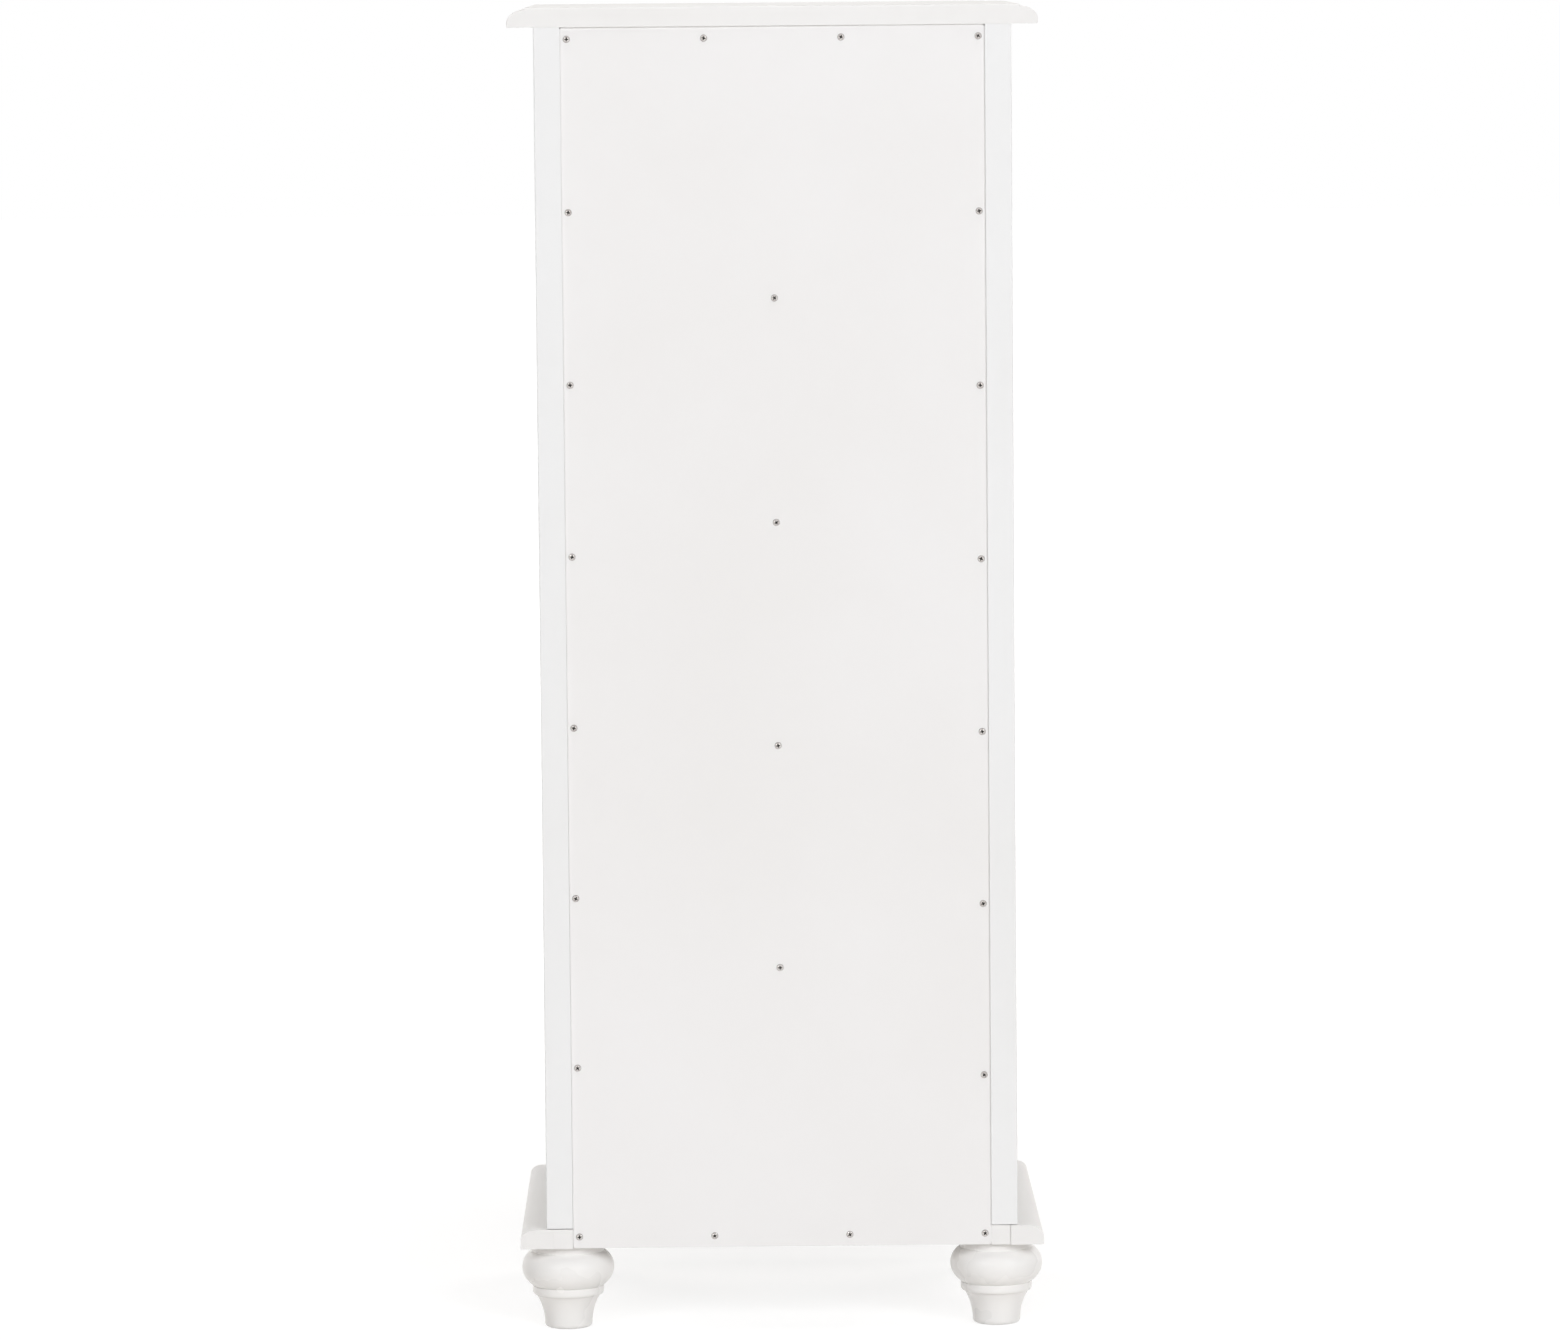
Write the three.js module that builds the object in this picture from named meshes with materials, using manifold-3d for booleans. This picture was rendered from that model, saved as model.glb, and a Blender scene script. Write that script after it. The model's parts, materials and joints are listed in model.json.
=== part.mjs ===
// A tall, narrow chest of five drawers: a white post-and-panel case with a moulded top and a
// moulded base, standing on four turned bun feet, and closed behind by a screwed-on back panel.
// Each drawer has a lipped front, a wooden box with a captured bottom and one knob, and slides on
// its front rail and on a centre runner.
//
// Millimetres. +Z is up, the drawers open towards -Y, and the back panel faces +Y. Left and right
// are those of someone who stands before the drawers. The origin is on the floor, under the
// centre of the chest's bounding box.

import * as THREE from "three";
import { mergeVertices } from "three/addons/utils/BufferGeometryUtils.js";
import Module from "manifold-3d";

const wasm = await Module();
wasm.setup();

// ------------------------------------------------------------------ driving dimensions

// Fits
const JOINT_GAP = 0.3; // between faces that are glued, screwed or seated together
const RUN_GAP = 0.4; // between a drawer and what it slides on
const CLOSE_GAP = 0.3; // between a closed drawer's lip and the case

// Case
const CASE_WIDTH = 457.2; // over the posts
const CASE_DEPTH = 381; // from the posts' front faces to their rear faces
const POST_WIDTH = 38.1; // across the chest
const POST_DEPTH = 38.1; // front to back
const BACK_THICKNESS = 6.35;
const BACK_SET_IN = 2; // from the posts' rear faces in to the back panel, for its screws' heads
const BACK_CORNER = 2.5; // rounding of the back panel's corners
const BACK_CORNER_STEPS = 3;
const REBATE_WIDTH = 12.7; // ledge in each rear post that carries the back panel's edge
const BACK_EDGE_GAP = 0.3; // around the back panel

// Side panels, held in grooves in the posts
const SIDE_THICKNESS = 9.5;
const SIDE_RECESS = 9.5; // from the posts' outer faces to the panel
const SIDE_GROOVE = 9.5; // depth of the grooves

// Drawer openings and the rails between them
const DRAWERS = 5;
const OPENING_HEIGHT = 196.85;
const DIVIDER_THICKNESS = 19.05;
const DIVIDER_DEPTH = 50.8;
const RAIL_HEIGHT = 50.8; // top and bottom front rails
const RAIL_THICKNESS = 22.2;
const REAR_RAIL_HEIGHT = 38.1;
const TENON_LENGTH = 9.5;
const TENON_THICKNESS = 9.5;
const TENON_SHOULDER = 5; // at each end of a tenon's width

// Top and base, with the same rounded moulding on the front and both sides
const TOP_THICKNESS = 19.05;
const TOP_OVERHANG = 25.4;
const TOP_FILLET = 2; // upright step above the top's moulding
const TOP_STEP = 1; // how far that step stands in from the curve
const TOP_LIP = 4.5; // upright edge below the top's moulding
const BASE_THICKNESS = 19.05;
const BASE_OVERHANG = 25.4;
const BASE_LIP = 8; // upright edge below the base's moulding
const BASE_STRIP_WIDTH = 31.75;
const MOULDING_WIDTH = 16.5;
const MOULDING_STEPS = 8;

// Turned feet, from the floor up: toe, hollow ankle, ring, bun and neck, and a bolt into the base.
// Each radius is set by how far it stands out from the one below it.
const TOE_RADIUS = 23.3;
const TOE_EASE = 4; // rounding of the edge that meets the floor
const ANKLE_HEIGHT = 32.3; // from the floor to the ring
const ANKLE_CURVE = 52; // radius of the hollow, which is upright where it meets the toe
const RING_STEP = 0.6; // from the ankle's top out to the ring
const RING_SWELL = 2.6; // rounding of the ring's lower edge, outwards
const RING_EASE = 4; // and upwards
const RING_HEIGHT = 8.6;
const BUN_SWELL = 10.1; // from the ring out to the bun's widest point
const BUN_RISE = 18.1; // and up to it
const WAIST_STEP = 0.7; // from the ring in to the foot of the bun
const BELLY_REACH = 30; // from the widest point in to the centre of the curve below it
const SHOULDER_REACH = 18.6; // and of the curve above it
const SHOULDER_RISE = 16.2; // from the widest point up to the neck
const NECK_INSET = 9.5; // from the widest point in to the neck
const NECK_HEIGHT = 8.3;
const BOLT_RADIUS = 4;
const BOLT_COVER = 6; // wood left above the bolt's end
const BUN_STEPS = 6;
const FOOT_SEGMENTS = 24;

// Centre runners
const RUNNER_WIDTH = 25.4;
const RUNNER_RISE = 5; // above the rail in front of it
const RUNNER_SEAT = 10; // depth of the notch that holds its front end
const RUNNER_PLAY = 1; // each side, in the notch of the drawer's back

// Drawers
const FRONT_GAP = 5; // between one drawer's lip and the next
const LIP_THICKNESS = 10;
const LIP_EDGE_WIDTH = 6.5; // rounding of the lip, seen from the front
const LIP_EDGE_DEPTH = 5.5; // and from the side
const LIP_EDGE_STEPS = 5;
const FRONT_BODY = 12.7; // thickness of the front behind its lip
const FRONT_HEADROOM = 3; // above that body
const BOX_CLEARANCE = 3; // between a drawer's side and the post
const BOX_HEADROOM = 32; // above a drawer's sides
const BOX_REAR_ROOM = 28; // between them and the back panel
const BOX_WALL = 12.7;
const BACK_SETBACK = 6; // from the sides' rear ends to the drawer's back
const BACK_DADO = 5;
const BACK_DROP = 15; // from the sides' upper edges to the back's
const BOTTOM_THICKNESS = 5;
const BOTTOM_RISE = 12; // from the sides' lower edges to the bottom's underside
const BOTTOM_GROOVE = 6;
const GROOVE_SLACK = 0.5;

// Knobs, each turned in one with its screw; from the drawer's front out: foot, stem and crown
const KNOB_FOOT_RADIUS = 9;
const KNOB_FOOT_EDGE = 1.5; // thickness of the foot at its rim
const KNOB_STEM_RADIUS = 6;
const KNOB_STEM_LENGTH = 6.5;
const KNOB_FLARE = 6; // length over which the stem widens into the crown
const KNOB_RADIUS = 16;
const KNOB_CROWN_HEIGHT = 10;
const KNOB_SCREW_RADIUS = 2;
const KNOB_HOLE_SLACK = 0.5;
const KNOB_HEAD_RADIUS = 4.2;
const KNOB_HEAD_HEIGHT = 2.4;
const KNOB_SEGMENTS = 16;

// Screw holes in the back panel: a row at each end, one down each side, and one for each runner
// that ends at a divider's level
const SCREW_HOLE_RADIUS = 2;
const SCREW_HOLE_SEGMENTS = 8;
const SCREW_MARGIN = 11; // from the panel's upper and lower edges to the end rows
const SCREW_COLUMNS = 4; // holes in an end row
const SCREW_ROWS = 8; // holes down a side, with those of the end rows
const SCREW_DRIFT = 1.7; // by which the left side's gaps are wider, all but the lowest
const RUNNER_SCREW_DROP = 3; // from a divider's middle down to its runner's hole

// ------------------------------------------------------------------ what follows from them

const openingWidth = CASE_WIDTH - 2 * POST_WIDTH;
const drawerPitch = OPENING_HEIGHT + DIVIDER_THICKNESS;
const caseHeight = 2 * RAIL_HEIGHT + DRAWERS * drawerPitch - DIVIDER_THICKNESS;
const topWidth = CASE_WIDTH + 2 * TOP_OVERHANG;
const topDepth = CASE_DEPTH + TOP_OVERHANG;
const baseWidth = CASE_WIDTH + 2 * BASE_OVERHANG;
const baseDepth = CASE_DEPTH + BASE_OVERHANG;
const baseBoardWidth = baseWidth - 2 * BASE_STRIP_WIDTH;
const backWidth = openingWidth + 2 * REBATE_WIDTH;
const backDepth = BACK_SET_IN + BACK_THICKNESS; // from the rear plane in to the panel's inner face
const ankleSweep = Math.asin((ANKLE_HEIGHT - TOE_EASE) / ANKLE_CURVE);
const ankleTop = TOE_RADIUS + ANKLE_CURVE * (1 - Math.cos(ankleSweep));
const ringRadius = ankleTop + RING_STEP + RING_SWELL;
const bunRadius = ringRadius + BUN_SWELL;
const footHeight = ANKLE_HEIGHT + RING_HEIGHT + BUN_RISE + SHOULDER_RISE + NECK_HEIGHT;
const boltLength = BASE_THICKNESS - BOLT_COVER;
const lipOverlap = (DIVIDER_THICKNESS - FRONT_GAP) / 2; // over the case, all round the opening
const boxWidth = openingWidth - 2 * BOX_CLEARANCE;
const boxInside = boxWidth - 2 * BOX_WALL;
const boxLength = CASE_DEPTH - backDepth - BOX_REAR_ROOM;
const boxHeight = OPENING_HEIGHT - RUN_GAP - BOX_HEADROOM;
const knobCove = KNOB_FOOT_RADIUS - KNOB_STEM_RADIUS; // hollow between foot and stem
const crownFoot = KNOB_FOOT_EDGE + knobCove + KNOB_STEM_LENGTH + KNOB_FLARE;
const knobReach = CLOSE_GAP + LIP_THICKNESS + JOINT_GAP + crownFoot + KNOB_CROWN_HEIGHT;
const frontReach = Math.max(TOP_OVERHANG, BASE_OVERHANG, knobReach);
const rearY = (CASE_DEPTH + frontReach) / 2; // the plane of the posts' rear faces
const frontY = rearY - CASE_DEPTH; // the plane of their front faces
const openingFloor = (drawer) => RAIL_HEIGHT + (DRAWERS - drawer) * drawerPitch; // drawer 1 is on top

// ------------------------------------------------------------------ materials

const finish = (color, roughness, metalness = 0) =>
  new THREE.MeshStandardMaterial({ color, roughness, metalness });
const whitePaint = finish("#f1f0ee", 0.38);
const panelPaint = finish("#efeeeb", 0.5);
const boxWood = finish("#dcc3a0", 0.6);
const plywood = finish("#e0cda9", 0.65);
const runnerWood = finish("#c9a97c", 0.6);
const nickel = finish("#b9b5ae", 0.32, 1);

// ------------------------------------------------------------------ solids

const X = new THREE.Vector3(1, 0, 0);
const Y = new THREE.Vector3(0, 1, 0);
const Z = new THREE.Vector3(0, 0, 1);
const PAST = 1; // by which a cut runs on past the face that it opens
const EXTRUDE_TURN = {
  x: new THREE.Matrix4().makeBasis(Y, Z, X), // the section lies in YZ
  y: new THREE.Matrix4().makeBasis(X, Z, Y.clone().negate()), // in XZ
  z: new THREE.Matrix4(), // in XY
};

// A closed three.js geometry as a manifold solid.
function solidOf(geometry) {
  const bare = new THREE.BufferGeometry().setAttribute("position", geometry.getAttribute("position"));
  bare.setIndex(geometry.index);
  const merged = mergeVertices(bare, 1e-4);
  return new wasm.Manifold(
    new wasm.Mesh({
      numProp: 3,
      vertProperties: merged.attributes.position.array,
      triVerts: new Uint32Array(merged.index.array),
    }),
  );
}

// A manifold solid as a three.js geometry.
function geometryOf(solid) {
  const mesh = solid.getMesh();
  const geometry = new THREE.BufferGeometry();
  geometry.setAttribute("position", new THREE.BufferAttribute(mesh.vertProperties, 3));
  geometry.setIndex(new THREE.BufferAttribute(mesh.triVerts, 1));
  geometry.computeVertexNormals();
  return geometry;
}

// A block between three pairs of planes, each pair given as [low, high].
function block(x, y, z) {
  const box = new THREE.BoxGeometry(x[1] - x[0], y[1] - y[0], z[1] - z[0]);
  box.translate((x[0] + x[1]) / 2, (y[0] + y[1]) / 2, (z[0] + z[1]) / 2);
  return solidOf(box);
}

// A section, as a list of [u, v] points or a Shape, carried along an axis from low to high.
function bar(section, axis, [low, high]) {
  const shape = section instanceof THREE.Shape ? section : shapeOf(section);
  const geometry = new THREE.ExtrudeGeometry(shape, { depth: high - low, bevelEnabled: false });
  // Along y the shape is carried backwards, so it starts from the high end.
  geometry.translate(0, 0, axis === "y" ? -high : low);
  return solidOf(geometry.applyMatrix4(EXTRUDE_TURN[axis]));
}

const shapeOf = (points) => new THREE.Shape(points.map(([u, v]) => new THREE.Vector2(u, v)));

// A body turned about +Z from a profile of [radius, height] points, lowest first.
function turned(profile, segments) {
  const points = profile.map(([radius, height]) => new THREE.Vector2(radius, height));
  return new THREE.LatheGeometry(points, segments).rotateX(Math.PI / 2);
}

// Points of a quarter or part ellipse, as [u, v] pairs; the angles are in degrees.
function ellipse(centre, radii, from, to, steps) {
  return Array.from({ length: steps + 1 }, (_, i) => {
    const angle = THREE.MathUtils.degToRad(from + ((to - from) * i) / steps);
    return [centre[0] + radii[0] * Math.cos(angle), centre[1] + radii[1] * Math.sin(angle)];
  });
}

const chest = new THREE.Group();

function add(parent, name, shape, material, position = [0, 0, 0]) {
  const geometry = shape.isBufferGeometry ? shape : geometryOf(shape);
  const mesh = new THREE.Mesh(geometry, material);
  mesh.name = name;
  mesh.position.set(...position);
  parent.add(mesh);
}

function subGroup(x, y, z) {
  const group = new THREE.Group();
  group.position.set(x, y, z);
  chest.add(group);
  return group;
}

const SIDES = { left: -1, right: 1 };

// ------------------------------------------------------------------ top and base mouldings

// The moulded edge of a board whose outer edge is at u = reach, from its underside up to its face.
function mouldedEdge(reach, thickness, lip, fillet, step) {
  const inner = reach - MOULDING_WIDTH;
  const curve = ellipse([inner, lip], [MOULDING_WIDTH, thickness - fillet - lip], 0, 90, MOULDING_STEPS);
  const crown = fillet > 0 ? [[inner - step, thickness - fillet], [inner - step, thickness]] : [];
  return [[reach, 0], ...curve, ...crown];
}

const mirrored = (points) => points.map(([u, v]) => [-u, v]).reverse();

// The top: the side-to-side section and the front-to-back section, mitred where they meet.
function makeTop() {
  const edge = (reach) => mouldedEdge(reach, TOP_THICKNESS, TOP_LIP, TOP_FILLET, TOP_STEP);
  const across = bar([...edge(topWidth / 2), ...mirrored(edge(topWidth / 2))], "y", [-topDepth, 0]);
  const frontEdge = mirrored(edge(topDepth)); // the rear edge is plain
  const along = bar([[0, 0], [0, TOP_THICKNESS], ...frontEdge], "x", [-topWidth / 2, topWidth / 2]);
  return across.intersect(along);
}

const baseEdge = (reach) => mouldedEdge(reach, BASE_THICKNESS, BASE_LIP, 0, 0);

// One side strip of the base, mitred at its front end and plain behind.
function makeBaseSide(side) {
  const outer = baseWidth / 2;
  const inner = outer - BASE_STRIP_WIDTH;
  const section = [[inner, 0], ...baseEdge(outer), [inner, BASE_THICKNESS]];
  const plan = [
    [outer, 0],
    [outer, JOINT_GAP - baseDepth],
    [inner, JOINT_GAP - baseDepth + BASE_STRIP_WIDTH],
    [inner, 0],
  ];
  const turn = (points) => points.map(([u, v]) => [side * u, v]);
  const strip = bar(turn(section), "y", [-baseDepth, 0]);
  return strip.intersect(bar(turn(plan), "z", [0, BASE_THICKNESS]));
}

// The front strip of the base, mitred at both ends.
function makeBaseFront() {
  const outer = baseWidth / 2;
  const inner = outer - BASE_STRIP_WIDTH;
  const innerY = BASE_STRIP_WIDTH - baseDepth;
  const section = [[innerY, BASE_THICKNESS], ...mirrored(baseEdge(baseDepth)), [innerY, 0]];
  const plan = [[-outer, -baseDepth], [outer, -baseDepth], [inner, innerY], [-inner, innerY]];
  const strip = bar(section, "x", [-outer, outer]);
  return strip.intersect(bar(plan, "z", [0, BASE_THICKNESS]));
}

// The feet stand under the corners, with their buns flush with the base's edges.
const footPlaces = Object.entries(SIDES).flatMap(([name, side]) => [
  { name: `front_${name}`, x: side * (baseWidth / 2 - bunRadius), y: bunRadius - baseDepth },
  { name: `rear_${name}`, x: side * (baseWidth / 2 - bunRadius), y: -bunRadius },
]);

// The base board, notched for the back panel's lower edge, and bored for the feet. Beside the
// panel it runs on to the rear plane, where its ears end flush with the side strips.
function makeBaseBoard() {
  const half = baseBoardWidth / 2 - JOINT_GAP;
  const notch = backWidth / 2;
  const notchY = -backDepth - JOINT_GAP;
  const front = BASE_STRIP_WIDTH - baseDepth + JOINT_GAP;
  const rightSide = [[notch, notchY], [notch, 0], [half, 0], [half, front]];
  const board = bar([...mirrored(rightSide), ...rightSide], "z", [0, BASE_THICKNESS]);
  const boreRadius = BOLT_RADIUS + JOINT_GAP;
  const boreDepth = boltLength + JOINT_GAP;
  const bore = new THREE.CylinderGeometry(boreRadius, boreRadius, 2 * boreDepth, FOOT_SEGMENTS);
  const cutter = solidOf(bore.rotateX(Math.PI / 2));
  return footPlaces.reduce((left, { x, y }) => left.subtract(cutter.translate([x, y, 0])), board);
}

// The bun from its widest point to the given end, as an arc of an ellipse whose centre is level
// with the widest point and lies the given reach inside it.
function bunCurve(widestZ, reach, [endRadius, endZ]) {
  const angle = Math.acos(1 - (bunRadius - endRadius) / reach);
  const radii = [reach, (endZ - widestZ) / Math.sin(angle)];
  const centre = [bunRadius - reach, widestZ];
  return ellipse(centre, radii, 0, THREE.MathUtils.radToDeg(angle), BUN_STEPS);
}

function makeFoot() {
  const top = footHeight - JOINT_GAP;
  const toe = ellipse([TOE_RADIUS - TOE_EASE, TOE_EASE], [TOE_EASE, TOE_EASE], -90, 0, 3);
  const hollowCentre = [TOE_RADIUS + ANKLE_CURVE, TOE_EASE];
  const hollowEnd = 180 - THREE.MathUtils.radToDeg(ankleSweep);
  const ankle = ellipse(hollowCentre, [ANKLE_CURVE, ANKLE_CURVE], 180, hollowEnd, 4);
  const ringCentre = [ringRadius - RING_SWELL, ANKLE_HEIGHT + RING_EASE];
  const ring = ellipse(ringCentre, [RING_SWELL, RING_EASE], -90, 0, 3);
  const ringTop = ANKLE_HEIGHT + RING_HEIGHT;
  const widestZ = ringTop + BUN_RISE;
  const belly = bunCurve(widestZ, BELLY_REACH, [ringRadius - WAIST_STEP, ringTop]).reverse();
  const neckRadius = bunRadius - NECK_INSET;
  const shoulder = bunCurve(widestZ, SHOULDER_REACH, [neckRadius, widestZ + SHOULDER_RISE]);
  const bolt = [[BOLT_RADIUS, top], [BOLT_RADIUS, top + boltLength], [0, top + boltLength]];
  const ringEdge = [ringRadius, ringTop];
  const turning = [[0, 0], ...toe, ...ankle.slice(1), ...ring, ringEdge, ...belly, ...shoulder.slice(1)];
  return turned([...turning, [neckRadius, top], ...bolt], FOOT_SEGMENTS);
}

// ------------------------------------------------------------------ posts and side panels

// The section of a post, about its own centre: a groove for the side panel in one face, and in a
// rear post a rebate for the back panel.
function postSection(side, isRear) {
  const halfWidth = POST_WIDTH / 2;
  const halfDepth = POST_DEPTH / 2;
  const grooveOuter = halfWidth - SIDE_RECESS + GROOVE_SLACK / 2;
  const grooveInner = halfWidth - SIDE_RECESS - SIDE_THICKNESS - GROOVE_SLACK / 2;
  // The grooved face is drawn at v = -halfDepth, and the whole section is turned for a front post.
  const rebate = [
    [halfWidth, halfDepth],
    [-halfWidth + REBATE_WIDTH, halfDepth],
    [-halfWidth + REBATE_WIDTH, halfDepth - backDepth],
    [-halfWidth, halfDepth - backDepth],
  ];
  const plain = [[halfWidth, halfDepth], [-halfWidth, halfDepth]];
  const section = [
    ...(isRear ? rebate : plain),
    [-halfWidth, -halfDepth],
    [grooveInner, -halfDepth],
    [grooveInner, -halfDepth + SIDE_GROOVE],
    [grooveOuter, -halfDepth + SIDE_GROOVE],
    [grooveOuter, -halfDepth],
    [halfWidth, -halfDepth],
  ];
  return section.map(([u, v]) => [side * u, isRear ? v : -v]);
}

// The tenon on each end of a rail, as the part of the rail's section that runs on into the posts.
function withTenons(rail, y, z, length) {
  const reach = length / 2 + TENON_LENGTH - JOINT_GAP;
  return rail.add(block([-reach, reach], y, z));
}

const grown = ([low, high]) => [low - JOINT_GAP, high + JOINT_GAP];
const middle = ([low, high], size) => [(low + high - size) / 2, (low + high + size) / 2];
const inset = ([low, high], margin) => [low + margin, high - margin];

// Every rail between the posts, in the case's frame: y = 0 is the rear plane, z = 0 the base's top.
const railFrontY = [-CASE_DEPTH, RAIL_THICKNESS - CASE_DEPTH];
const dividerY = [-CASE_DEPTH, DIVIDER_DEPTH - CASE_DEPTH];
const postFrontY = [-CASE_DEPTH, POST_DEPTH - CASE_DEPTH];
const rearRailY = [-backDepth - JOINT_GAP - RAIL_THICKNESS, -backDepth - JOINT_GAP];
const rails = [
  uprightRail("top_front_rail", railFrontY, [caseHeight - RAIL_HEIGHT, caseHeight - JOINT_GAP]),
  ...Array.from({ length: DRAWERS - 1 }, (_, i) => divider(i + 1)),
  uprightRail("bottom_front_rail", railFrontY, [JOINT_GAP, RAIL_HEIGHT]),
  uprightRail("rear_top_rail", rearRailY, [caseHeight - REAR_RAIL_HEIGHT, caseHeight - JOINT_GAP]),
];

function uprightRail(name, y, z) {
  return { name, y, z, tenonY: middle(y, TENON_THICKNESS), tenonZ: inset(z, TENON_SHOULDER) };
}

// The divider below drawer number above, whose top is the floor of that drawer's opening.
function divider(above) {
  const z = [openingFloor(above) - DIVIDER_THICKNESS, openingFloor(above)];
  return {
    name: `divider_${above}`,
    y: dividerY,
    z,
    tenonY: inset(postFrontY, TENON_SHOULDER),
    tenonZ: middle(z, TENON_THICKNESS),
  };
}

function makePost(side, isRear) {
  const centreX = (side * (CASE_WIDTH - POST_WIDTH)) / 2;
  const centreY = isRear ? -POST_DEPTH / 2 : POST_DEPTH / 2 - CASE_DEPTH;
  const post = bar(postSection(side, isRear), "z", [JOINT_GAP, caseHeight - JOINT_GAP]);
  const joined = rails.filter((rail) => (rail.name === "rear_top_rail") === isRear);
  const mouth = openingWidth / 2 + TENON_LENGTH;
  // The mortises are cut from the opening's middle outwards, so that they break the inner face.
  return joined.reduce(
    (left, rail) => left.subtract(block([-mouth, mouth], grown(rail.tenonY), grown(rail.tenonZ))),
    post.translate([centreX, centreY, 0]),
  );
}

// A rail or divider, notched behind for the front end of its centre runner if it carries one.
function makeRail({ y, z, tenonY, tenonZ }, hasRunner) {
  const half = openingWidth / 2 - JOINT_GAP;
  const rail = withTenons(block([-half, half], y, z), tenonY, tenonZ, openingWidth);
  if (!hasRunner) return rail;
  const notch = RUNNER_WIDTH / 2 + JOINT_GAP;
  const seat = [y[1] - RUNNER_SEAT, y[1] + PAST];
  return rail.subtract(block([-notch, notch], seat, [z[0] - PAST, z[1] + PAST]));
}

function makeSidePanel(side) {
  const outer = CASE_WIDTH / 2 - SIDE_RECESS;
  const x = [outer - SIDE_THICKNESS, outer];
  const y = [POST_DEPTH - SIDE_GROOVE + JOINT_GAP - CASE_DEPTH, SIDE_GROOVE - POST_DEPTH - JOINT_GAP];
  const turn = side > 0 ? x : [-x[1], -x[0]];
  return block(turn, y, [JOINT_GAP, caseHeight - JOINT_GAP]);
}

// ------------------------------------------------------------------ back panel

// Where the screws go, in the panel's own plane: x across, z up from its lower edge.
function screwPlaces(height) {
  const columnX = backWidth / 2 - REBATE_WIDTH / 2;
  const top = height - SCREW_MARGIN;
  const across = (2 * columnX) / (SCREW_COLUMNS - 1);
  const down = (height - 2 * SCREW_MARGIN) / (SCREW_ROWS - 1);
  const places = [];
  for (let column = 0; column < SCREW_COLUMNS; column++) {
    places.push([column * across - columnX, top], [column * across - columnX, SCREW_MARGIN]);
  }
  for (let row = 1; row < SCREW_ROWS - 1; row++) {
    places.push([-columnX, top - row * (down + SCREW_DRIFT)], [columnX, top - row * down]);
  }
  const caseFloor = BASE_THICKNESS - BACK_EDGE_GAP;
  for (let above = 1; above < DRAWERS; above++) {
    const dividerMiddle = caseFloor + openingFloor(above) - DIVIDER_THICKNESS / 2;
    places.push([0, dividerMiddle - RUNNER_SCREW_DROP]);
  }
  return places;
}

function makeBackPanel() {
  const half = backWidth / 2 - BACK_EDGE_GAP;
  const height = BASE_THICKNESS + caseHeight - 2 * BACK_EDGE_GAP;
  const corner = [BACK_CORNER, BACK_CORNER];
  const outline = shapeOf([
    ...ellipse([half - BACK_CORNER, BACK_CORNER], corner, 270, 360, BACK_CORNER_STEPS),
    ...ellipse([half - BACK_CORNER, height - BACK_CORNER], corner, 0, 90, BACK_CORNER_STEPS),
    ...ellipse([BACK_CORNER - half, height - BACK_CORNER], corner, 90, 180, BACK_CORNER_STEPS),
    ...ellipse([BACK_CORNER - half, BACK_CORNER], corner, 180, 270, BACK_CORNER_STEPS),
  ]);
  outline.holes = screwPlaces(height).map(([x, z]) => {
    const hole = new THREE.Path();
    const rim = ellipse([x, z], [SCREW_HOLE_RADIUS, SCREW_HOLE_RADIUS], 0, 360, SCREW_HOLE_SEGMENTS);
    return hole.setFromPoints(rim.slice(1).map(([u, v]) => new THREE.Vector2(u, v)));
  });
  return bar(outline, "y", [-backDepth, -BACK_SET_IN]);
}

// ------------------------------------------------------------------ runners

// The runner behind a rail. Its front end lies in the rail's notch, flush with the rail's top, and
// behind the rail it stands proud to guide the drawer, as far as the back panel.
function makeRunner(railY, foot, railTop) {
  const x = [-RUNNER_WIDTH / 2, RUNNER_WIDTH / 2];
  const rear = -backDepth - JOINT_GAP;
  const seated = block(x, [railY[1] - RUNNER_SEAT + JOINT_GAP, rear], [foot, railTop]);
  return seated.add(block(x, [railY[1] + JOINT_GAP, rear], [foot, railTop + RUNNER_RISE]));
}

// ------------------------------------------------------------------ drawers

// In a drawer's frame y = 0 is the case's front plane, +y runs into the case, and z = 0 is the
// floor of the opening.

const boxFloor = RUN_GAP;
const bottomZ = [boxFloor + BOTTOM_RISE, boxFloor + BOTTOM_RISE + BOTTOM_THICKNESS];
const grooveZ = [bottomZ[0] - GROOVE_SLACK / 2, bottomZ[1] + GROOVE_SLACK / 2];
const drawerBackY = [boxLength - BACK_SETBACK - BOX_WALL, boxLength - BACK_SETBACK];
const backBoardTop = boxFloor + boxHeight - BACK_DROP;
const knobHeight = OPENING_HEIGHT / 2;

// The rounded rim of the lip, as the outline of a slab of the given extent along u.
function lipSection([low, high]) {
  const backFace = -CLOSE_GAP;
  const frontFace = backFace - LIP_THICKNESS;
  const rimV = frontFace + LIP_EDGE_DEPTH;
  const radii = [LIP_EDGE_WIDTH, LIP_EDGE_DEPTH];
  return [
    [low, backFace],
    ...ellipse([low + LIP_EDGE_WIDTH, rimV], radii, 180, 270, LIP_EDGE_STEPS),
    ...ellipse([high - LIP_EDGE_WIDTH, rimV], radii, 270, 360, LIP_EDGE_STEPS),
    [high, backFace],
  ];
}

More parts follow.
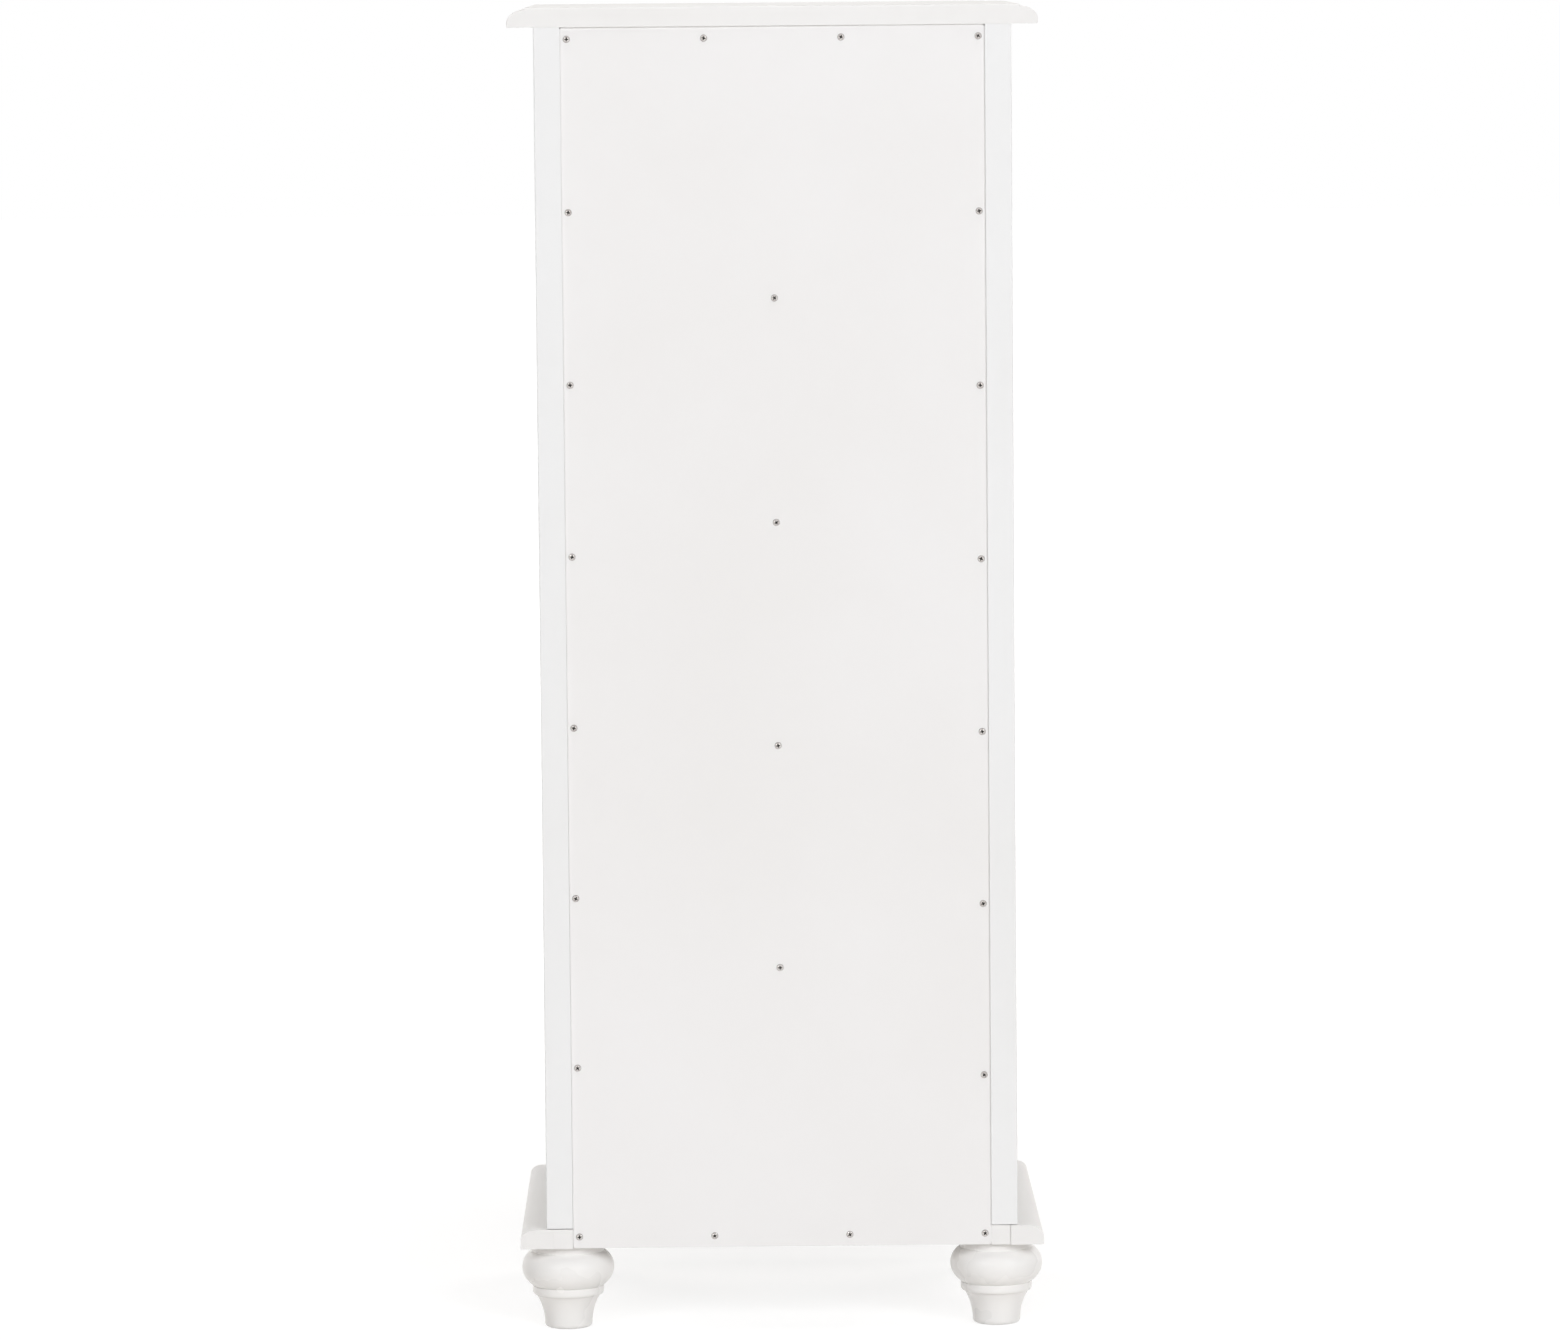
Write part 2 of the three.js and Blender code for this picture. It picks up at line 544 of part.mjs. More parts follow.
function makeDrawerFront() {
  const lipX = [-openingWidth / 2 - lipOverlap, openingWidth / 2 + lipOverlap];
  const lipZ = [-lipOverlap, OPENING_HEIGHT + lipOverlap];
  // One bar has its rounded rims left and right, and the other above and below.
  const upright = bar(lipSection(lipX), "z", lipZ);
  const level = bar(lipSection(lipZ).map(([u, v]) => [v, u]), "x", lipX);
  const half = boxInside / 2 - JOINT_GAP;
  const bodyY = [-CLOSE_GAP - LIP_THICKNESS / 2, FRONT_BODY]; // it starts inside the lip
  const body = block([-half, half], bodyY, [boxFloor, OPENING_HEIGHT - FRONT_HEADROOM]);
  const grooveY = [FRONT_BODY - BOTTOM_GROOVE, FRONT_BODY + PAST];
  const groove = block([-half - PAST, half + PAST], grooveY, grooveZ);
  const holeRadius = KNOB_SCREW_RADIUS + KNOB_HOLE_SLACK;
  const holeLength = 2 * (CLOSE_GAP + LIP_THICKNESS + FRONT_BODY); // past both faces
  const drill = new THREE.CylinderGeometry(holeRadius, holeRadius, holeLength, KNOB_SEGMENTS);
  const hole = solidOf(drill).translate([0, 0, knobHeight]);
  return upright.intersect(level).add(body).subtract(groove).subtract(hole);
}

function makeDrawerSide(side) {
  const inner = boxInside / 2;
  const z = [boxFloor, boxFloor + boxHeight];
  const turn = ([low, high]) => (side > 0 ? [low, high] : [-high, -low]);
  const grooveX = turn([inner - PAST, inner + BOTTOM_GROOVE]);
  const groove = block(grooveX, [-PAST, boxLength - BACK_SETBACK], grooveZ);
  const dadoX = turn([inner - PAST, inner + BACK_DADO]);
  const dado = block(dadoX, grown(drawerBackY), [z[0] - PAST, backBoardTop + JOINT_GAP]);
  return block(turn([inner, boxWidth / 2]), [0, boxLength], z).subtract(groove).subtract(dado);
}

function makeDrawerBack() {
  const half = boxInside / 2 + BACK_DADO - JOINT_GAP;
  const board = block([-half, half], drawerBackY, [boxFloor, backBoardTop]);
  const grooveY = [drawerBackY[0] - PAST, drawerBackY[0] + BOTTOM_GROOVE];
  const groove = block([-half - PAST, half + PAST], grooveY, grooveZ);
  const notchHalf = RUNNER_WIDTH / 2 + RUNNER_PLAY;
  const notchZ = [boxFloor - PAST, RUNNER_RISE + RUN_GAP];
  const notch = block([-notchHalf, notchHalf], grown(drawerBackY), notchZ);
  return board.subtract(groove).subtract(notch);
}

function makeDrawerBottom() {
  const half = boxInside / 2 + BOTTOM_GROOVE - JOINT_GAP;
  const front = FRONT_BODY - BOTTOM_GROOVE + JOINT_GAP;
  const rear = drawerBackY[0] + BOTTOM_GROOVE - JOINT_GAP;
  return block([-half, half], [front, rear], bottomZ);
}

// The knob and its screw, turned about an axis that points out of the drawer's front.
function makeKnob() {
  const inside = -(LIP_THICKNESS + CLOSE_GAP + FRONT_BODY + 2 * JOINT_GAP);
  const coveCentre = [KNOB_FOOT_RADIUS, KNOB_FOOT_EDGE + knobCove];
  const cove = ellipse(coveCentre, [-knobCove, -knobCove], 90, 0, 3);
  const flareRadii = [KNOB_RADIUS - KNOB_STEM_RADIUS, KNOB_FLARE];
  const flare = ellipse([KNOB_STEM_RADIUS, crownFoot], flareRadii, -90, 0, 3);
  const crown = ellipse([0, crownFoot], [KNOB_RADIUS, KNOB_CROWN_HEIGHT], 0, 90, 5);
  return turned(
    [
      [0, inside - KNOB_HEAD_HEIGHT],
      [KNOB_HEAD_RADIUS, inside - KNOB_HEAD_HEIGHT],
      [KNOB_HEAD_RADIUS, inside],
      [KNOB_SCREW_RADIUS, inside],
      [KNOB_SCREW_RADIUS, 0],
      [KNOB_FOOT_RADIUS, 0],
      ...cove,
      ...flare,
      ...crown.slice(1),
    ],
    KNOB_SEGMENTS,
  ).rotateX(Math.PI / 2);
}

// ------------------------------------------------------------------ assembly

const base = subGroup(0, rearY, footHeight);
const carcase = subGroup(0, rearY, footHeight + BASE_THICKNESS);

const footShape = makeFoot();
for (const { name, x, y } of footPlaces) {
  add(chest, `foot_${name}`, footShape, whitePaint, [x, rearY + y, 0]);
}

add(base, "base_board", makeBaseBoard(), whitePaint);
add(base, "base_moulding_front", makeBaseFront(), whitePaint);
for (const [name, side] of Object.entries(SIDES)) {
  add(base, `base_moulding_${name}`, makeBaseSide(side), whitePaint);
  add(carcase, `front_post_${name}`, makePost(side, false), whitePaint);
  add(carcase, `rear_post_${name}`, makePost(side, true), whitePaint);
  add(carcase, `side_panel_${name}`, makeSidePanel(side), whitePaint);
}

for (const rail of rails) {
  const hasRunner = rail.name.startsWith("divider") || rail.name === "bottom_front_rail";
  add(carcase, rail.name, makeRail(rail, hasRunner), whitePaint);
}

for (let drawer = 1; drawer <= DRAWERS; drawer++) {
  const floor = openingFloor(drawer);
  const isLowest = drawer === DRAWERS; // its runner stands on the base board
  const runnerY = isLowest ? railFrontY : dividerY;
  const runnerFoot = isLowest ? JOINT_GAP : floor - DIVIDER_THICKNESS;
  add(carcase, `runner_${drawer}`, makeRunner(runnerY, runnerFoot, floor), runnerWood);
}

add(carcase, "back_panel", makeBackPanel(), panelPaint, [0, 0, BACK_EDGE_GAP - BASE_THICKNESS]);
add(carcase, "top_board", makeTop(), whitePaint, [0, 0, caseHeight]);

const frontShape = makeDrawerFront();
const backShape = makeDrawerBack();
const bottomShape = makeDrawerBottom();
const knobShape = makeKnob();
for (let drawer = 1; drawer <= DRAWERS; drawer++) {
  const group = subGroup(0, frontY, footHeight + BASE_THICKNESS + openingFloor(drawer));
  const name = (piece) => `drawer_${drawer}_${piece}`;
  add(group, name("front"), frontShape, whitePaint);
  for (const [sideName, side] of Object.entries(SIDES)) {
    add(group, name(`side_${sideName}`), makeDrawerSide(side), boxWood);
  }
  add(group, name("back"), backShape, boxWood);
  add(group, name("bottom"), bottomShape, plywood);
  add(group, name("knob"), knobShape, nickel, [0, -CLOSE_GAP - LIP_THICKNESS - JOINT_GAP, knobHeight]);
}

export default chest;
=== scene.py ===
# %% [markdown]
# # A tall white chest of drawers
#
# The chest is a painted wooden case with five drawers, a moulded top and base, a back panel held
# by two dozen screws, and four turned feet. The joiner's model is already there: every board, rail
# and drawer has its true size and place in the frame. This notebook gives each of them the surface
# of the real piece: eased edges, run mouldings, turned curves, paint, bare wood and metal.

# %% The frame
import json
import math

import bmesh
import bpy
import numpy as np
from mathutils import Euler, Matrix, Vector

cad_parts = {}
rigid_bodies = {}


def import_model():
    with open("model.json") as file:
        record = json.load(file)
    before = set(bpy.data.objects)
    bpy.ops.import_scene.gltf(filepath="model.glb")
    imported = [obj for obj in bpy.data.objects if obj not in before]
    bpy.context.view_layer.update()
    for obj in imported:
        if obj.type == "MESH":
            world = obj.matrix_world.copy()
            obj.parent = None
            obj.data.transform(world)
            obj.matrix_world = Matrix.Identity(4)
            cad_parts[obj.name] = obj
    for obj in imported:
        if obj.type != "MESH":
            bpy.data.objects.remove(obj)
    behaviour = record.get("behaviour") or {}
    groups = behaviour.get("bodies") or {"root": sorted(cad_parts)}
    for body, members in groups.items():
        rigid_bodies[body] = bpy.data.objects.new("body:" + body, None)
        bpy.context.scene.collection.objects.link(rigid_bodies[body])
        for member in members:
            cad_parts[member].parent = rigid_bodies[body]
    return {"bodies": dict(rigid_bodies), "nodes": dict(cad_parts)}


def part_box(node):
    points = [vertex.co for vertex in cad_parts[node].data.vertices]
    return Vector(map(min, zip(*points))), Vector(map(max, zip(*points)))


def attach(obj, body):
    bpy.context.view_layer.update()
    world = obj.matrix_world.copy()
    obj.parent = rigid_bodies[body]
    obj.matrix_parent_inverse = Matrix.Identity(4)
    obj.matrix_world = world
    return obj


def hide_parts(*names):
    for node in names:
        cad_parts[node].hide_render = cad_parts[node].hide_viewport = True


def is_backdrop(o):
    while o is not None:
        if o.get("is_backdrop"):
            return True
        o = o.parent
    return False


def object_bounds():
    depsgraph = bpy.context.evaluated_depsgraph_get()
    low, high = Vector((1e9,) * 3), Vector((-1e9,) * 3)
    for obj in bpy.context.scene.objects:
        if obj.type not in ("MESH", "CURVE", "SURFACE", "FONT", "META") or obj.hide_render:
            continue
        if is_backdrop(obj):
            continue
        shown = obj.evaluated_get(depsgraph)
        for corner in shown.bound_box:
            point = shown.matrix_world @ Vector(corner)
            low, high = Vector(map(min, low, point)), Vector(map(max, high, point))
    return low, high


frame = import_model()
cad_low, cad_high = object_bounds()
MM = 0.001  # sizes are given in millimetres, and Blender works in metres
CASE = "case"
DRAWERS = [body for body in frame["bodies"] if body.startswith("drawer_")]
tall = cad_high.z / MM
print(f"{len(frame['nodes'])} pieces of joinery, {len(DRAWERS)} drawers, {tall:.0f} mm tall")

# %% [markdown]
# ## Outlines
#
# A joiner's piece is nearly always one section carried along a line, so most shapes here start as
# a closed outline in a plane. Two helpers change an outline as a plane and sandpaper would: one
# rounds its corners, and one moves its sides inwards. Both work on a whole array of points at once.


# %% Arcs, rounded corners and insets
def arc(centre, radii, start, end, steps):
    """Points centre + radii * (cos a, sin a), as a runs evenly from start to end, in degrees."""
    a = np.radians(np.linspace(start, end, steps + 1))
    return np.column_stack([centre[0] + radii[0] * np.cos(a), centre[1] + radii[1] * np.sin(a)])


def sides_of(outline):
    """For each corner, the unit direction of the side that arrives and of the side that leaves."""
    leaving = np.roll(outline, -1, axis=0) - outline
    leaving /= np.linalg.norm(leaving, axis=1, keepdims=True)
    return np.roll(leaving, 1, axis=0), leaving


def left_of(direction):
    """The direction turned a quarter to the left: inwards, if the outline runs counterclockwise."""
    return np.column_stack([-direction[:, 1], direction[:, 0]])


def runs_clockwise(outline):
    """Whether the outline runs clockwise: the shoelace formula then gives a negative area."""
    x, y = outline.T
    return np.sum(x * np.roll(y, -1) - y * np.roll(x, -1)) < 0


def eased(outline, radius, steps=3, sharp=35):
    """The outline, with an arc at each corner that turns by more than `sharp` degrees.

    The arc leaves the side at radius * tan(turn / 2) before the corner. Its point at the angle a,
    from 0 to the turn, is then radius * sin(a) further along the side and radius * (1 - cos a)
    away from it. The radius is one number, or one for each corner.
    """
    radius = np.broadcast_to(radius, len(outline))
    arriving, leaving = sides_of(outline)
    across = left_of(arriving)
    turn = np.arctan2(np.sum(across * leaving, axis=1), np.sum(arriving * leaving, axis=1))
    start = outline - arriving * (radius * np.tan(np.abs(turn) / 2))[:, None]
    a = np.abs(turn)[:, None] * np.linspace(0, 1, steps + 1)
    along = radius[:, None] * np.sin(a)
    away = (radius * np.sign(turn))[:, None] * (1 - np.cos(a))
    points = start[:, None] + along[..., None] * arriving[:, None]
    points += away[..., None] * across[:, None]
    rounded = np.abs(turn) > math.radians(sharp)
    points[~rounded] = outline[~rounded][:, None]
    return points[rounded[:, None] | (np.arange(steps + 1) == 0)]


def inset(outline, distance):
    """The counterclockwise outline, with every side moved inwards by the distance.

    A corner moves by distance * (n + m) / (1 + n . m), where n and m point inwards from its sides.
    """
    n, m = (left_of(side) for side in sides_of(outline))
    return outline + distance * (n + m) / (1 + np.sum(n * m, axis=1))[:, None]


# %% [markdown]
# ## Skins
#
# Every new shape ends as a skin over rings of points. Four-sided faces join neighbouring rings, and
# a flat cap or a fan to one point closes each end. Blender averages the shading of neighbouring
# faces, which makes a wide flat face beside a narrow rounded edge look swollen. The Weighted Normal
# modifier cures that by letting the larger face decide.


# %% From rings to a piece
def skin(name, rings, first=None, last=None):
    """A closed piece over rings, an array of shape (rings, points, 3).

    Point j of ring i is joined to point j + 1 of its own ring and to point j of ring i + 1. The
    points first and last are the tips that close the ends; an end without a tip gets a flat cap.
    """
    count, around = rings.shape[:2]
    index = np.arange(count * around).reshape(count, around)
    near, far = index[:-1], index[1:]
    quads = np.stack([near, np.roll(near, -1, 1), np.roll(far, -1, 1), far], axis=-1)
    points, faces = rings.reshape(-1, 3), quads.reshape(-1, 4).tolist()
    for rim, tip in ((index[0][::-1], first), (index[-1], last)):
        if tip is None:
            faces.append(rim.tolist())
        else:
            faces += np.column_stack([rim, np.roll(rim, -1), np.full(around, len(points))]).tolist()
            points = np.vstack([points, tip])
    mesh = bpy.data.meshes.new(name)
    mesh.from_pydata(points.tolist(), [], faces)
    face_outwards(mesh)
    piece = bpy.data.objects.new(name, mesh)
    bpy.context.scene.collection.objects.link(piece)
    piece.modifiers.new("larger face decides", "WEIGHTED_NORMAL").keep_sharp = True
    return piece


def face_outwards(mesh, crease=50):
    """Turns every face round if the volume comes out negative, and shades the faces smoothly.

    An edge that turns by more than the crease, in degrees, stays sharp.
    """
    form = bmesh.new()
    form.from_mesh(mesh)
    if form.calc_volume(signed=True) < 0:
        bmesh.ops.reverse_faces(form, faces=form.faces)
    form.to_mesh(mesh)
    form.free()
    mesh.shade_smooth()
    mesh.set_sharp_from_angle(angle=math.radians(crease))


def dress(piece, body, material, slot, *nodes):
    """Gives the piece its finish, lets it move with a body, and lets it stand for joinery nodes."""
    piece.data.materials.append(material)
    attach(piece, body)
    if nodes:
        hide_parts(*nodes)


# %% [markdown]
# ## Bars and turnings
#
# Two ways of working cover the new pieces. A bar is an outline carried along an axis, as a plank
# leaves the planer. A turning is a profile swept round an axis, as on a lathe. The arris of a real
# bar is broken with sandpaper, and paint fills it a little more, so each end of a bar shrinks along
# a quarter circle.

# %% Laying, carrying and turning
AXES = {"x": (1, 2, 0), "y": (2, 0, 1), "z": (0, 1, 2)}  # what u, v and the length become
END_RINGS = 4  # in the rounding of each end of a bar


def laid(axis, outline, place):
    """Points (u, v) at a place along the axis.

    Along x, u and v are y and z. Along y they are z and x, and along z they are x and y.
    """
    points = np.empty((len(outline), 3))
    points[:, AXES[axis]] = np.column_stack([outline, np.full(len(outline), place)])
    return points


def bar_rings(axis, outline, span, arris, ends):
    """Rings of a bar whose corners have the radius `arris`, and whose ends are rounded by `ends`.

    At the angle a of an end's rounding, the outline is inset by end * (1 - sin a) and stands
    end * (1 - cos a) in from the end. An end has to be less than the radius, or its arcs close up.
    """
    step = -1 if runs_clockwise(outline) else 1
    outline = eased(outline[::step], np.broadcast_to(arris, len(outline))[::step])
    a = np.radians(np.linspace(0, 90, END_RINGS))
    shares = list(zip(1 - np.sin(a), 1 - np.cos(a)))
    low = [(inset(outline, ends[0] * cut), span[0] + ends[0] * back) for cut, back in shares]
    high = [(inset(outline, ends[1] * cut), span[1] - ends[1] * back) for cut, back in shares]
    return np.array([laid(axis, section, place) for section, place in low + high[::-1]])


def turned(name, profile, origin, lay=Matrix.Identity(3), segments=96):
    """A turning: the profile's (r, h) becomes (r cos a, r sin a, h), turned by `lay`.

    It is then moved to the origin. The profile's first and last pairs are the tips on the axis.
    """
    r, h = np.asarray(profile).T[:, :, None]
    a = np.linspace(0, 2 * np.pi, segments, endpoint=False)
    rings = np.stack([r * np.cos(a), r * np.sin(a), h + 0 * a], axis=-1)
    placed = rings @ np.array(lay).T + np.array(origin)
    return skin(name, placed[1:-1], placed[0, 0], placed[-1, 0])


# %% [markdown]
# ## Building a finish
#
# A material is a small graph of nodes. Three helpers keep the recipes short: one adds a node and
# joins its inputs, one turns an amount into a colour, and one piles up layers of relief. Every
# pattern reads Object coordinates. Each piece keeps its place in its mesh and its object at the
# origin, so these are simply the chest's own metres, and the pattern slides along with a drawer.


# %% Node helpers
def new_finish(name, **sockets):
    """A material whose Principled shader has the given values, with its node tree and shader."""
    material = bpy.data.materials.new(name)
    material.use_nodes = True
    shader = material.node_tree.nodes["Principled BSDF"]
    for socket, value in sockets.items():
        shader.inputs[socket.replace("_", " ")].default_value = value
    return material, material.node_tree, shader


def put(tree, kind, output, settings=None, **inputs):
    """Adds a node, joins or sets its inputs by name, and returns one of its outputs."""
    node = tree.nodes.new("ShaderNode" + kind)
    for key, value in (settings or {}).items():
        setattr(node, key, value)
    for key, value in inputs.items():
        socket = node.inputs[int(key[1:])] if key[0] == "_" else node.inputs[key.replace("_", " ")]
        if isinstance(value, bpy.types.NodeSocket):
            tree.links.new(value, socket)
        else:
            socket.default_value = value
    return node.outputs[output]


def toned(tree, amount, *stops):
    """A colour that runs through the stops, pairs of place and colour, as the amount rises."""
    output = put(tree, "ValToRGB", "Color", Fac=amount)
    ramp = output.node.color_ramp.elements
    ramp.remove(ramp[1])
    ramp[0].position, ramp[0].color = stops[0][0], (*stops[0][1], 1)
    for place, colour in stops[1:]:
        ramp.new(place).color = (*colour, 1)
    return output


def raise_relief(tree, shader, *layers):
    """Bump nodes in a chain, one for each layer: a height from 0 to 1, and its size in metres."""
    normal = {}
    for height, size in layers:
        normal = {"Normal": put(tree, "Bump", "Normal", Height=height, Distance=size, **normal)}
    tree.links.new(normal["Normal"], shader.inputs["Normal"])


def along_grain(tree, axis, along, across):
    """Object coordinates for a noise in streaks down the axis.

    A metre holds `along` features down the axis, and `across` features the other ways.
    """
    place = put(tree, "TexCoord", "Object")
    scale = [along if name == axis else across for name in "xyz"]
    return put(tree, "Mapping", "Vector", Vector=place, Scale=scale)


# %% [markdown]
# ## White paint
#
# The case is sprayed with a satin white. Close up it is not one flat colour: the tone drifts a
# little, the film has a fine orange peel, and the grain shows through it as faint ridges along each
# board. So there is one paint for each direction of the grain. The top, the base and its mouldings
# get a copy that is a little darker and warmer: painted warm shade, like the shade on the base's
# ledges. The feet get a lighter copy: painted light against the shade under the base. The back
# panel is a smooth sheet, and its paint is flatter, a little warmer too, and has hardly any ridges.

# %% The paints
DEEPER = (0.965, 0.96, 0.95)  # what is left of each colour where the tone is deepest
SHEEN_DRIFT = 0.05


def white_paint(name, colour, axis, sheen, peel, ridge):
    """Paint on wood whose grain runs down the axis.

    Its tone drifts by 4 %, and its roughness to each side of the sheen. Its relief is the film's
    peel and the grain's ridge, in metres.
    """
    material, tree, shader = new_finish(name)
    place = put(tree, "TexCoord", "Object")
    drift = put(tree, "TexNoise", "Fac", Vector=place, Scale=2.7, Detail=4.0, Roughness=0.55)
    deeper = tuple(c * share for c, share in zip(colour, DEEPER))
    tree.links.new(toned(tree, drift, (0.3, deeper), (0.7, colour)), shader.inputs["Base Color"])
    gloss = put(tree, "TexNoise", "Fac", Vector=place, Scale=19.0, Detail=3.0)
    smoother, rougher = sheen - SHEEN_DRIFT, sheen + SHEEN_DRIFT
    span = put(tree, "MapRange", "Result", Value=gloss, To_Min=smoother, To_Max=rougher)
    tree.links.new(span, shader.inputs["Roughness"])
    streaks = along_grain(tree, axis, 7, 380)
    grain = put(tree, "TexNoise", "Fac", Vector=streaks, Scale=1.0, Detail=4.0)
    film = put(tree, "TexNoise", "Fac", Vector=place, Scale=540.0, Detail=2.0)
    raise_relief(tree, shader, (grain, ridge), (film, peel))
    return material


# the second white is a little darker and warmer: painted warm shade for the top, base and mouldings
WHITE, WARM_SHADE_WHITE = (0.853, 0.856, 0.86), (0.848, 0.84, 0.832)
# the turned white is lighter than the case's white: painted light for the feet, against the shade
# under the base
LIGHTENED_TURNED_WHITE, PANEL_WHITE = (0.89, 0.88, 0.868), (0.861, 0.852, 0.85)
SATIN = (0.46, 0.007 * MM, 0.012 * MM)  # sheen, peel and ridge
TURNED_SATIN = (0.27, 0.005 * MM, 0.008 * MM)
PANEL_SATIN = (0.54, 0.01 * MM, 0.003 * MM)


def batch_of_paint(name, colour, grains):
    """One paint for each direction of the grain, under the name of its axis."""
    return {axis: white_paint(f"{name}_{axis}", colour, axis, *SATIN) for axis in grains}


paint = batch_of_paint("satin_white", WHITE, "xz")
# painted warm shade: a darker, warmer copy of the case's white
warm_shade_paint = batch_of_paint("moulding_white_warm_shade", WARM_SHADE_WHITE, "xy")
# painted light: a lighter copy of the white, for the feet
lightened_turned_paint = white_paint("satin_white_turned_lightened", LIGHTENED_TURNED_WHITE, "z", *TURNED_SATIN)
panel_paint = white_paint("panel_white", PANEL_WHITE, "z", *PANEL_SATIN)
paints = (*paint.values(), *warm_shade_paint.values(), lightened_turned_paint, panel_paint)
print("paints:", ", ".join(material.name for material in paints))

# %% [markdown]
# ## Bare wood
#
# Inside, the drawers are plain hardwood. Flat-sawn wood shows its growth rings as long nested
# curves. They are the contour lines of a slow field that is stretched along the board: a ping-pong
# of the field makes the rings, and a much finer stretched noise makes the pores.


# %% The woods
def bare_wood(name, axis, early, late, rings, sheen):
    """Wood with its grain down the axis.

    The colour runs from early to late wood with a triangle wave of rings * field, and the pores
    darken or lighten it.
    """
    material, tree, shader = new_finish(name, Roughness=sheen)
    field = along_grain(tree, axis, 0.9, 9)
    slow = put(tree, "TexNoise", "Fac", Vector=field, Scale=1.0, Detail=2.0, Roughness=0.4)
    many = put(tree, "Math", "Value", {"operation": "MULTIPLY"}, _0=slow, _1=rings)
    ring = put(tree, "Math", "Value", {"operation": "PINGPONG"}, _0=many, _1=1.0)
    streaks = along_grain(tree, axis, 22, 900)
    pores = put(tree, "TexNoise", "Fac", Vector=streaks, Scale=1.0, Detail=5.0, Roughness=0.7)
    darkening = {"From_Min": 0.35, "From_Max": 0.75, "To_Min": -0.18, "To_Max": 0.22}
    both = put(tree, "MapRange", "Result", Value=pores, **darkening)
    tone = put(tree, "Math", "Value", {"operation": "ADD", "use_clamp": True}, _0=ring, _1=both)
    middle = tuple((3 * a + b) / 4 for a, b in zip(early, late))
    colour = toned(tree, tone, (0.0, early), (0.55, middle), (1.0, late))
    tree.links.new(colour, shader.inputs["Base Color"])
    raise_relief(tree, shader, (pores, 0.06 * MM))
    return material


HARDWOOD = ((0.76, 0.60, 0.41), (0.57, 0.39, 0.22), 16, 0.55)  # early, late, rings and sheen
PLYWOOD = ((0.80, 0.67, 0.47), (0.68, 0.52, 0.33), 7, 0.6)
WAXED_WOOD = ((0.63, 0.44, 0.24), (0.43, 0.27, 0.13), 22, 0.38)
side_wood = bare_wood("drawer_hardwood_long", "y", *HARDWOOD)
back_wood = bare_wood("drawer_hardwood_cross", "x", *HARDWOOD)
bottom_ply = bare_wood("birch_plywood", "x", *PLYWOOD)
runner_wood = bare_wood("waxed_runner", "y", *WAXED_WOOD)
print("woods:", ", ".join(m.name for m in (side_wood, back_wood, bottom_ply, runner_wood)))

# %% [markdown]
# ## Metal
#
# Two metals remain. The panel's screws are zinc-plated steel, with dirt and painted shade in the
# cross recess and painted shade round the rim. So the screw's mesh carries a number that is 0 on
# its clean face and 1 at the bottom of the recess, and it darkens the plating. The knobs are satin
# nickel, brushed so finely that only the sheen shows it.

# %% Zinc and nickel
RUB_DRIFT = 0.08


def metal(name, colour, shade, sheen, grain):
    """Bare metal whose tone drifts from shade to colour. Its relief is the grain, in metres."""
    material, tree, shader = new_finish(name, Metallic=1.0)
    place = put(tree, "TexCoord", "Object")
    cloud = put(tree, "TexNoise", "Fac", Vector=place, Scale=260.0, Detail=4.0)
    tree.links.new(toned(tree, cloud, (0.3, shade), (0.7, colour)), shader.inputs["Base Color"])
    rub = put(tree, "TexNoise", "Fac", Vector=place, Scale=1400.0, Detail=2.0)
    smoother, rougher = sheen - RUB_DRIFT, sheen + RUB_DRIFT
    span = put(tree, "MapRange", "Result", Value=rub, To_Min=smoother, To_Max=rougher)
    tree.links.new(span, shader.inputs["Roughness"])
    raise_relief(tree, shader, (rub, grain))
    return material, tree, shader


NICKEL, DARK_NICKEL = (0.67, 0.64, 0.59), (0.60, 0.57, 0.52)
ZINC, DARK_ZINC = (0.68, 0.655, 0.635), (0.48, 0.445, 0.425)
# near black, for dirt and painted shade in a screw's recess and painted shade at its rim
DIRT_AND_SHADE_BLACK = (0.03, 0.028, 0.026, 1)
knob_nickel = metal("satin_nickel", NICKEL, DARK_NICKEL, 0.3, 0.006 * MM)[0]
screw_zinc, tree, shader = metal("zinc_plate", ZINC, DARK_ZINC, 0.2, 0.01 * MM)
plating = shader.inputs["Base Color"].links[0].from_socket
# the mesh's number mixes the plating towards near black: dirt and painted shade
share = put(tree, "Attribute", "Fac", {"attribute_name": "dirt_and_shade"})
plating_with_dirt_and_shade = put(tree, "Mix", 2, {"data_type": "RGBA"}, _0=share, _6=plating, _7=DIRT_AND_SHADE_BLACK)
tree.links.new(plating_with_dirt_and_shade, shader.inputs["Base Color"])
print("metals:", knob_nickel.name, "and", screw_zinc.name)

# %% [markdown]
# ## Boards that only need their arrises broken
#
# Rails, side panels, runners and drawer boards already have their true shapes, with grooves,
# notches and tenons. They stay as they are, under three modifiers. The first joins the loose
# triangles, the second melts each flat side into one face, and the third rounds every edge that
# turns by more than 40 degrees.


# %% Breaking the arrises of the joinery
WELD_REACH = 0.01 * MM
FLAT_TURN, ARRIS_TURN = math.radians(0.5), math.radians(40)


def break_arrises(nodes, material, radius, segments=3):
    """Rounds the edges of joinery nodes by the radius, in metres, and gives them their finish."""
    for name in nodes:
        board = frame["nodes"][name]
        board.modifiers.new("join triangles", "WELD").merge_threshold = WELD_REACH
        flat = board.modifiers.new("melt flat sides", "DECIMATE")
        flat.decimate_type, flat.angle_limit = "DISSOLVE", FLAT_TURN
        edge = board.modifiers.new("broken arris", "BEVEL")
        edge.width, edge.segments, edge.limit_method = radius, segments, "ANGLE"
        edge.angle_limit = ARRIS_TURN
        board.material_slots[0].material = material


